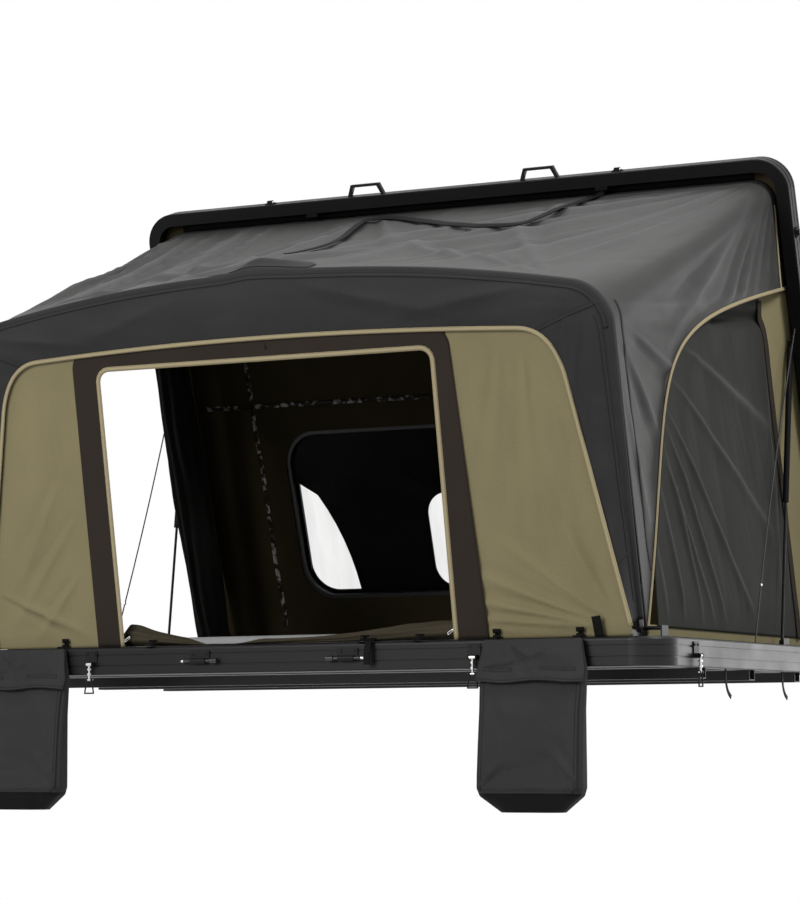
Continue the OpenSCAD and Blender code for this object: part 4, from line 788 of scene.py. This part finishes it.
for side, sx in SIDES:
    def wall_place(s, t, side=side, sx=sx):
        x0 = sx * DOOR_MID + DOOR_HALF + 0.04
        z = SILL + (pipe_z(x0) - SILL) * t
        x = x0 + (max(wall_edge(max(z, 0.128)) - 0.002, x0 + 0.005) - x0) * s
        relief = fold(sx * x, z, WALL_FOLDS[side]) + 0.6 * crinkle(x, z, sx) - 0.004
        return front_point(sx * x, z, slack(s, 9, 9) * slack(t, 14, 9) * relief - 0.0015)

    wall = fold_with_lid(cloth_sheet(f"front_wall_{side}", 70, 120, wall_place, (0.38, 0.81), tan_cloth))
    if side == "right":
        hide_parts("front_wall")

# Doorway band: brown cloth with the door's zip, sewn round the opening.
# Its inner edge is bound in tan.
def door_path(t, grow, top, radius):
    """A point on the doorway's outline: up the left side, over the top and down the right side."""
    half = DOOR_HALF + grow
    rise, flat, turn = top - radius - SILL, 2 * (half - radius), math.pi / 2 * radius
    d = t * (2 * rise + flat + 2 * turn)
    if d < rise:
        x, z = -half, SILL + d
    elif d < rise + turn:
        a = (d - rise) / radius
        x, z = -half + radius * (1 - math.cos(a)), top - radius + radius * math.sin(a)
    elif d < rise + turn + flat:
        x, z = -half + radius + (d - rise - turn), top
    elif d < rise + 2 * turn + flat:
        a = (d - rise - turn - flat) / radius
        x, z = half - radius + radius * math.sin(a), top - radius + radius * math.cos(a)
    else:
        x, z = half, SILL + max(0, 2 * rise + 2 * turn + flat - d)
    return x + DOOR_MID, z


BAND_WIDTH, BAND_LENGTH = 0.078, 2.5
INNER_EDGE, OUTER_EDGE = (0, 0.846, 0.034), (BAND_WIDTH, 0.899, 0.05)


def band_place(s, t):
    inner, outer = door_path(t, *INNER_EDGE), door_path(t, *OUTER_EDGE)
    spread = 0.014 - 0.057 * (outer[1] - SILL) if outer[0] > 0 else 0
    x, z = inner[0] + (outer[0] + spread - inner[0]) * s, inner[1] + (outer[1] - inner[1]) * s
    return front_point(x, z, 0.0013 + 0.002 * noise.noise((x * 5, z * 5, 0)) * math.sin(math.pi * s))


brown_cloth = cloth("brown_cloth", (0.03, 0.0235, 0.018), 0.75, spread=0.2, depth=0.0012, gloss=0.1)
door_band = cloth_sheet("doorway_band", 8, 220, band_place, (BAND_WIDTH, BAND_LENGTH), brown_cloth)
fold_with_lid(door_band)
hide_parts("door_band")
door_binding = ribbon("doorway_binding", lambda t: front_point(*door_path(t, *INNER_EDGE)), lambda t: FRONT,
                      0.013, piping_cloth, 200, lift=0.002, dome=0.003, across=6)
fold_with_lid(door_binding)

# Door flap: the unzipped door, dropped inside and bunched along the sill.
# Its tan cloth heaps up in loose pleats at both ends.
def bundle(name, across, along, place, flat, *materials):
    """A closed soft shape: place(f, g) lays out a grid, whose seam and ends are then shut."""
    bm = bmesh.new()
    uv = bm.loops.layers.uv.new("flat")
    bmesh.ops.create_grid(bm, x_segments=across, y_segments=along, size=0.5)
    for v in bm.verts:
        v.co = place(v.co.x + 0.5, v.co.y + 0.5)
    bmesh.ops.remove_doubles(bm, verts=bm.verts, dist=0.00005)
    bmesh.ops.holes_fill(bm, edges=[e for e in bm.edges if e.is_boundary], sides=0)
    for face in bm.faces:
        for loop in face.loops:
            loop[uv].uv = flat(loop.vert.co)
    return add_object(name, mesh_from(bm, name), *materials)


FLAP_MIDDLE, FLAP_LENGTH, FLAP_Y, FLAP_Z = -0.019, 1.1, -0.640, 0.1035


def bunched(f, g):
    """The flap's surface: f along the sill, g round the bundle."""
    a = 2 * math.pi * g
    heap = (0.002 + 0.031 * max(0, 1 - f / 0.25) ** 0.9 + 0.006 * ease((f - 0.33) / 0.1)
            + 0.017 * ease((f - 0.5) / 0.45))
    pleat = math.sin(7 * a + 9 * f + 2 * noise.noise((6 * f, 0, 0)))
    heap *= 1 + 0.12 * noise.noise((16 * f, 1.5 * math.cos(a), 1.5 * math.sin(a))) + 0.10 * pleat
    wide = 0.030 + 0.008 * math.sin(9 * f) + 0.003 * pleat
    tip = min(1, 0.3 + 20 * min(f, 1 - f))
    return (FLAP_MIDDLE + FLAP_LENGTH * (f - 0.5), FLAP_Y + tip * wide * math.cos(a),
            FLAP_Z + tip * heap * (1 + math.sin(a)))


flap_cloth = cloth("flap_cloth", (0.06, 0.05, 0.032), 0.85, spread=0.3, crease=5, depth=0.003, gloss=0.1)
door_flap = bundle("door_flap_cloth", 220, 32, bunched, lambda p: (p.x, p.z + p.y), flap_cloth)
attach(door_flap, "base")
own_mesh(door_flap)
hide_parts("door_flap")

# End walls: tan cloth inside the arch, round the end doors.
# A strip is sewn in beside the lid, and a hem runs along the base.
LID_EDGE, DOOR_FAR = 0.0408, 0.15
HEM_WIDTH, HEM_LENGTH, HEM_Y, HEM_Z = 0.078, 1.215, -0.605, 0.056


def lid_side(z, back):
    """How far back the line parallel to the lid lies at height z."""
    w = (z - HINGE_Z - (LID_EDGE - back) * LID_COS) / LID_SIN
    return HINGE_Y - w * LID_COS + (LID_EDGE - back) * LID_SIN


for side, sx in SIDES:
    def strip(s, t, sx=sx):
        z = 0.06 + 1.06 * t
        y = lid_side(z, DOOR_FAR) - 0.010 + (lid_side(z, 0.0) + 0.008 - lid_side(z, DOOR_FAR)) * s
        bow = math.sin(math.pi * s) * math.sin(math.pi * t)
        x = WALL_X + 0.034 * s * s * ease(8 * t) + 0.005 * bow * math.sin(9 * t + 4 * s)
        return Vector((sx * x, min(y, 0.68), z))

    def hem(s, t, sx=sx):
        z = HEM_Z + HEM_WIDTH * s + 0.003 * noise.noise((12 * t, 3, 0))
        return Vector((sx * WALL_X, HEM_Y + HEM_LENGTH * t, z))

    for key, place, flat in (("lid", strip, (0.16, 1.1)), ("hem", hem, (HEM_WIDTH, HEM_LENGTH))):
        end_wall = fold_with_lid(cloth_sheet(f"end_wall_{key}_{side}", 16, 80, place, flat, tan_cloth))
        if key == "lid":
            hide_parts(f"end_wall_{side}")

# Right end door: charcoal cloth zipped shut, with folds fanning from the arch down to the foot.
# Slack hangs in a pocket under the arch's top, and a brown zip band runs up the far edge.
# The folds of the door, in y and z
DOOR_FOLDS = [
    (-0.52, 0.72, -0.02, 0.14, 0.012, 0.010), (-0.53, 0.68, -0.20, 0.14, 0.011, 0.010),
    (-0.51, 0.74, 0.20, 0.17, 0.014, 0.010), (-0.55, 0.58, -0.34, 0.14, 0.011, 0.009),
    (-0.46, 0.80, 0.36, 0.42, 0.020, 0.009), (-0.36, 0.88, 0.34, 0.72, 0.026, 0.009),
    (-0.57, 0.42, -0.46, 0.14, 0.010, 0.007), (-0.54, 0.64, -0.10, 0.13, 0.009, 0.007),
    (0.40, 0.95, 0.50, 0.20, 0.016, 0.008), (0.30, 0.98, 0.42, 0.25, 0.018, 0.007)]


def arch_y(z, inset):
    """The near edge of the arch at height z, drawn in by inset."""
    low, high = 0.0, 1.0
    for _ in range(24):
        mid = (low + high) / 2
        low, high = (mid, high) if arch_point(mid).z < z else (low, mid)
    run = (arch_point(mid + 0.001) - arch_point(mid - 0.001)).normalized()
    return arch_point(mid).y + inset * run.z


def end_door_place(s, t):
    z = 0.13 + 0.955 * t
    near = arch_y(z, 0.008) + 0.06 * ease((0.30 - z) / 0.2)
    far = max(lid_side(z, DOOR_FAR) + 0.006 - 0.03 * ease((z - 0.93) / 0.15), near + 0.012)
    y = near + (far - near) * s
    pocket = -0.034 * math.exp(-((z - (1.005 + 0.12 * (y - 0.1))) / 0.022) ** 2)
    pocket *= ease((y + 0.30) / 0.3) * ease((0.42 - y) / 0.1)
    relief = 0.006 + fold(y, z, DOOR_FOLDS, 0, 2) + 0.4 * crinkle(y + 0.5 * z, z, 2.6) + pocket
    return Vector((WALL_X + 0.003 + slack(s, 7, 9) * slack(t, 12, 10) * relief, y, z))


door_cloth = cloth("end_door_cloth", (0.036, 0.0355, 0.0328), 0.6, spread=0.2, crease=6, depth=0.0016,
                   gloss=0.02)
end_door = cloth_sheet("end_door_right_cloth", 150, 150, end_door_place, (1.2, 0.96), door_cloth)
fold_with_lid(end_door)
DOOR_CRESTS = thin(DOOR_FOLDS, 0.7)
# Painted highlights on the crests of the door's folds.
paint_crest_highlights(end_door, (0.1, 0.099, 0.095), lambda p: 0.8 * fold(p.y, p.z, DOOR_CRESTS, 0))
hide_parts("end_door_right")
zip_band = ribbon("end_door_zip_band", lambda t: end_door_place(0.97, 0.985 * t), lambda t: RIGHT, 0.034,
                  brown_cloth, 100, lift=0.004)
fold_with_lid(zip_band)

# Left end door: the same cloth, coloured much darker as painted shade, gathered into a bundle and left open.
# It is tied back inside along its far edge, with its flat side against the end wall.
def gathered(f, g):
    """The tied door's surface: f up the door, g round the bundle."""
    z, a = 0.125 + 0.93 * f, 2 * math.pi * g
    tip = min(1, 0.45 + 16 * min(f, 1 - f))
    crush = 0.10 * noise.noise((5 * f, 1.6 * math.cos(a), 1.6 * math.sin(a)))
    pleat = 1 + 0.10 * math.cos(9 * a + 3 * noise.noise((3 * f, 0, 0))) + crush
    half = 0.086 * tip * pleat * (1 + 0.12 * math.sin(5 * f - 1))
    deep = min(1.0, 0.5 + 0.5 * math.cos(a) * pleat)
    return -0.9585 + 0.058 * tip * deep, lid_side(z, DOOR_FAR + 0.076) + half * math.sin(a), z


# Painted shade: a darker copy of the end door cloth.
tied_cloth_shaded = cloth("tied_door_cloth_shaded", (0.014, 0.013, 0.012), 0.75, gloss=0.12)
door_roll = bundle("end_door_left_roll", 110, 60, gathered, lambda p: (p.z, p.x + p.y), tied_cloth_shaded)
fold_with_lid(door_roll)
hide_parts("end_door_left")

# Closing strap: flat black webbing from its buckle, swept over the roof with a loose tail.
# It lies on the crests of the folds and spans the hollows between them.
def through(points):
    """A smooth line through the points, as a function of t from 0 to 1."""
    def at(t):
        f = min(len(points) - 1.0001, max(0, t * (len(points) - 1)))
        i = int(f)
        a, b, c, d = (points[min(len(points) - 1, max(0, i + k))] for k in (-1, 0, 1, 2))
        f -= i
        bend, twist = 2 * a - 5 * b + 4 * c - d, 3 * b - a - 3 * c + d
        return 0.5 * (2 * b + (c - a) * f + bend * f * f + twist * f ** 3)

    return at


# The strap's way over the roof: x in mm, and the share of the way from hoop to lid
STRAP = [
    (478, 0.955), (468, 0.92), (454, 0.86), (438, 0.78), (422, 0.7), (404, 0.655), (368, 0.63),
    (306, 0.635), (236, 0.66), (150, 0.705), (66, 0.765), (-30, 0.83), (-121, 0.885), (-190, 0.905),
    (-226, 0.88), (-214, 0.82), (-196, 0.74), (-172, 0.66), (-160, 0.58), (-163, 0.5), (-172, 0.43),
    (-176, 0.38)]
STRAP_FACE, STRAP_TILT = Vector((0, -0.31, 0.95)), Vector((0, -0.55, 0.83))
STRAP_STEPS, STRAP_LIFT, STRAP_WIDTH = 240, 0.005, 0.025
strap_run = through([Vector((x / 1000, v, 0)) for x, v in STRAP])
strap_points = []
for i in range(STRAP_STEPS + 1):
    x, v, _ = strap_run(i / STRAP_STEPS)
    q = U_TOP * x / ((round_hoop(U_TOP, 0).x * (1 - v) + under_lid(U_TOP).x * v) * flare(v))
    middle = roof_point(q, v)
    crest = max((roof_point(q + a, v + b) - middle).dot(STRAP_FACE)
                for a, b in ((0, 0), (-0.008, 0), (0.008, 0), (0, -0.02), (0, 0.02)))
    strap_points.append(middle + STRAP_FACE * (crest + STRAP_LIFT))
for _ in range(90):
    for a, b, c in zip(strap_points, strap_points[1:], strap_points[2:]):
        b += STRAP_FACE * max(0, ((a + c) / 2 - b).dot(STRAP_FACE))
strap_line = through([lid_point(0.488, 1.397, -0.004)] + strap_points[::3])
strap = ribbon("closing_strap_webbing", strap_line, lambda t: STRAP_TILT, STRAP_WIDTH, webbing, 200,
               thick=0.0022)
fold_with_lid(strap)
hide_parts("closing_strap")

# Storage bags: charcoal canvas boots hung from the rail by webbing loops.
# A flap closes each one, and the gusset folds under the foot. Seams edge the flap and the front.
# Height, half width and depth of a bag, from its top to its foot
BAG_ROWS = [
    (0.098, 0.132, 0.009), (0.06, 0.138, 0.014), (0.02, 0.146, 0.02), (-0.01, 0.145, 0.03),
    (-0.08, 0.143, 0.042), (-0.16, 0.144, 0.052), (-0.24, 0.145, 0.06), (-0.275, 0.145, 0.062),
    (-0.295, 0.138, 0.058), (-0.336, 0.085, 0.036)]


def bag_size(z):
    """Half the width and the depth of a bag at height z."""
    for (z0, w0, d0), (z1, w1, d1) in zip(BAG_ROWS, BAG_ROWS[1:]):
        if z >= z1:
            f = (z0 - z) / (z0 - z1)
            return w0 + (w1 - w0) * f, d0 + (d1 - d0) * f
    return BAG_ROWS[-1][1:]


BAG_PLACES = (("left", -0.823, 3), ("right", 0.703, 8))
BAG_BACK, BAG_TOP, BAG_DROP, BAG_FOOT = -0.7233, 0.098, 0.434, -0.288
FLAP_TOP, FLAP_DROP = 0.099, 0.107
# The folds of bag and flap, in x from the bag's middle line and z
BAG_FOLDS = [
    (-0.15, -0.29, -0.05, -0.19, 0.012, 0.007), (0.15, -0.28, 0.05, -0.16, 0.014, 0.007),
    (0.0, -0.30, 0.06, -0.12, 0.02, 0.005), (0.02, 0.0, -0.03, -0.20, 0.03, 0.004),
    (-0.10, -0.02, -0.02, -0.16, 0.02, 0.003)]
FLAP_FOLDS = [
    (-0.07, 0.099, 0.005, 0.050, 0.010, 0.006), (0.085, 0.099, 0.0, 0.050, 0.010, 0.006),
    (-0.13, 0.03, 0.0, 0.055, 0.010, 0.003)]
bag_cloth = cloth("bag_cloth", (0.037, 0.037, 0.0375), 0.65, spread=0.25, pitch=180, crease=7, depth=0.002,
                  gloss=0.06)
foot_cloth = cloth("bag_foot_cloth", (0.006, 0.006, 0.006), 0.6, pitch=180, gloss=0.08)
bag_seam = stitched("bag_seam", (0.022, 0.022, 0.0225), (0.006, 0.006, 0.006), 0.6, 0.01)


def bag_front(x, z, seed):
    """The front face of a bag, at x from its middle line and at height z."""
    half, deep = bag_size(z)
    off = min(1, abs(x / half))
    bulge = math.sqrt(1 - off ** 7.14)
    rumple = noise.noise((4 * x + seed, 3 * z, seed)) * 0.012 + crinkle(2 * x, 2 * z + seed, seed)
    swell = bulge * (rumple + fold(x, z, BAG_FOLDS) + 0.012) * min(1, (0.1 - z) * 8) * (1 - off ** 4)
    return BAG_BACK - deep / 2 * (1 + bulge ** 0.4) - swell


for side, centre, seed in BAG_PLACES:
    def body_place(f, g, centre=centre, seed=seed):
        a, z = 2 * math.pi * f, BAG_TOP - BAG_DROP * g
        half, deep = bag_size(z)
        c, s = math.cos(a), math.sin(a)
        x = half * math.copysign(abs(c) ** 0.28, c)
        y = bag_front(x, z, seed) if s < 0 else BAG_BACK - deep / 2 * (1 - s ** 0.4)
        return centre + x, y, z

    bag = bundle(f"bag_{side}_body", 144, 110, body_place, lambda p: (p.x, p.z), bag_cloth, foot_cloth)
    for face in bag.data.polygons:
        face.material_index = 1 if face.center.z < BAG_FOOT else 0
    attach(bag, "base")
    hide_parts(f"bag_{side}")

    def bag_spot(x, z, centre=centre, seed=seed):
        return Vector((centre + x, bag_front(x, z, seed) - 0.001, z))

    def flap_place(s, t, centre=centre):
        z = FLAP_TOP - FLAP_DROP * t
        half, deep = bag_size(z)
        off = 2 * s - 1
        swell = 0.012 * (1 - off ** 4) * min(1, 3 * t)
        ripple = 0.004 + 0.003 * noise.noise((6 * off, 4 * t, centre))
        loose = ripple + min(1, 4 * t) * fold(off * half, z, FLAP_FOLDS)
        return Vector((centre + off * (half + 0.002), BAG_BACK - deep - swell - 0.003 - 0.006 * t - loose,
                       z + 0.003 * math.sin(5 * off + centre) * t))

    flap = cloth_sheet(f"bag_{side}_flap", 60, 44, flap_place, (0.28, 0.11), bag_cloth, 0.002)
    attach(flap, "base")
    seams = [(f"hook_{k}", 0.022, lambda t, a=a, b=b: flap_place(0.5 + (a + (b - a) * t) / 0.29, 0.76))
             for k, a, b in (("a", -0.125, -0.045), ("b", 0.03, 0.122))]
    seams.append(("flap_edge", 0.009, lambda t: flap_place(t, 0.965)))
    seams.append(("hem", 0.008, lambda t: bag_spot(0.25 * (t - 0.5), -0.284)))
    for k in (-1, 1):
        seams.append((f"edge_{k + 1}", 0.010, lambda t, k=k: bag_spot(
            k * (bag_size(-0.275 * t)[0] - 0.014), -0.005 - 0.275 * t)))
    for key, width, route in seams:
        seam = ribbon(f"bag_{side}_{key}", route, lambda t: Vector((0, -1, 0)), width, bag_seam, 50,
                      lift=0.0008, thick=0.0006)
        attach(seam, "base")

# Webbing loops: short loops of black webbing sewn to the bag tops and the wall hem.
# They hook over the rail's upper edge.
loop_line = through([Vector((0, y, z)) for y, z in (
    (-0.7315, 0.072), (-0.7300, 0.098), (-0.722, 0.1055), (-0.708, 0.1062), (-0.7012, 0.110),
    (-0.7035, 0.128))])
LOOP_WIDTH, WEB_THICK = 0.022, 0.0016
loop_xs = [centre + k for _, centre, _ in BAG_PLACES for k in (-0.115, 0.115)]


def over_rail(t):
    return Vector((0, -1 + t, 0.3 + t))


for i, x in enumerate(loop_xs):
    hook = ribbon(f"bag_loop_{i}", lambda t: loop_line(t) + Vector((x, 0, 0)), over_rail, LOOP_WIDTH,
                  webbing, 24, thick=WEB_THICK)
    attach(hook, "base")
    if i == 0:
        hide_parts("bag_straps")

# Sill and wall tabs: short ends of black webbing, looped over the sill rail and sewn to the right wall.
# One longer strap hangs over the sill, and two loose tails hang from under the right end.
TAB_WIDTH, SILL_STRAP_WIDTH, WALL_TAB_WIDTH, TAIL_WIDTH = 0.026, 0.018, 0.024, 0.012
for i, x in enumerate((-0.43, 0.21, 0.37)):
    tab = ribbon(f"sill_tab_{i}", lambda t: loop_line(0.25 + 0.65 * t) + Vector((x, 0, 0.001)), over_rail,
                 TAB_WIDTH, webbing, 16, thick=WEB_THICK)
    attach(tab, "base")
sill_line = through([Vector((0.236, y, z)) for y, z in (
    (-0.7015, 0.112), (-0.708, 0.1075), (-0.722, 0.107), (-0.7320, 0.099), (-0.7405, 0.074),
    (-0.7415, 0.042))])
sill_strap = ribbon("sill_strap", sill_line, lambda t: Vector((0, -1, 0.6 - t)), SILL_STRAP_WIDTH, webbing,
                    40, thick=WEB_THICK)
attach(sill_strap, "base")
wall_tab = ribbon("wall_tab", lambda t: front_point(0.872 - 0.006 * t, 0.104 + 0.052 * t, 0.011),
                  lambda t: FRONT, WALL_TAB_WIDTH, webbing, 16, thick=WEB_THICK)
fold_with_lid(wall_tab)
for i, y in enumerate((-0.2, 0.26)):
    tail_line = through([Vector((1.022, y + a, b)) for a, b in (
        (0, 0.05), (0, 0.02), (0.002, -0.004), (0.009, -0.022), (0.022, -0.036), (0.040, -0.046))])
    tail = ribbon(f"strap_tail_{i}", tail_line, lambda t: RIGHT, TAIL_WIDTH, webbing, 24, thick=0.0014)
    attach(tail, "base")

# Zip pulls: small plated sliders with a wire pull.
# They are parked at the foot of the doorway on both sides.
PULL_WIRE, PULL_OUT = 0.0014, 0.006
PULL = ((-0.006, 0.122), (0.010, 0.131), (0.011, 0.127), (-0.004, 0.117), (-0.006, 0.122))
for side, x in (("left", -0.512), ("right", 0.456)):
    bends = [front_point(x + a, z, PULL_OUT) for a, z in PULL]
    fold_with_lid(tube(f"zip_pull_{side}", bends, PULL_WIRE, bright_steel))

# Studio: a pale seamless floor well below the tent, a white surround and large soft lights.
# Floor and surround show as plain white, and light the tent more softly.
def plain_white(tree, lit, white, output):
    """Shows white to the camera, in gloss and through the film, while the lit shader lights the tent."""
    rays, blend = node(tree, "LightPath"), node(tree, "MixShader")
    seen, through_film = (math_node(tree, "MAXIMUM") for _ in range(2))
    wire(tree, (rays, "Is Camera Ray", seen, 0), (rays, "Is Glossy Ray", seen, 1), (seen, 0, through_film, 0),
         (rays, "Is Transmission Ray", through_film, 1), (through_film, 0, blend, "Fac"),
         (tree.nodes[lit], 0, blend, 1), (white, 0, blend, 2), (blend, 0, tree.nodes[output], "Surface"))


FLOOR_SIZE, FLOOR_Z = 30, -1.3
floor_mat = material("studio_floor", (0.55, 0.55, 0.55), 0.9)
plain_white(floor_mat.node_tree, "Principled BSDF", node(floor_mat.node_tree, "Emission"), "Material Output")
bm = bmesh.new()
bmesh.ops.create_grid(bm, x_segments=1, y_segments=1, size=FLOOR_SIZE)
bmesh.ops.translate(bm, verts=bm.verts, vec=(0, 0, FLOOR_Z))
add_object("studio_floor", mesh_from(bm, "studio_floor", smooth=False), floor_mat)

world = bpy.data.worlds.new("studio")
scene.world = world
world.use_nodes = True
sky = world.node_tree.nodes["Background"]
sky.inputs["Color"].default_value = (0.8, 0.83, 0.88, 1)
sky.inputs["Strength"].default_value = 0.4
white_sky = node(world.node_tree, "Background", color=(1, 1, 1, 1))
plain_white(world.node_tree, "Background", white_sky, "World Output")
for name, spot, target, size, power in (("key", (3.8, -1.2, 3.9), (0, -0.2, 0.6), 1.7, 145),
                                        ("top", (0.5, 1.5, 5.5), (0, 0, 1), 3.0, 60),
                                        ("fill", (-1.5, -6.5, 2.5), (0, 0, 0.4), 3.0, 220),
                                        ("rim", (3.4, 6.4, 0.8), (1, 0, 0.3), 3.0, 60)):
    lamp = bpy.data.lights.new(name, "AREA")
    lamp.shape = "DISK"
    lamp.size = size
    lamp.energy = power
    ob = bpy.data.objects.new(name, lamp)
    ob.location = spot
    ob.visible_camera = False
    ob.rotation_mode = "QUATERNION"
    ob.rotation_quaternion = (Vector(target) - Vector(spot)).to_track_quat("-Z", "Y")
    scene.collection.objects.link(ob)
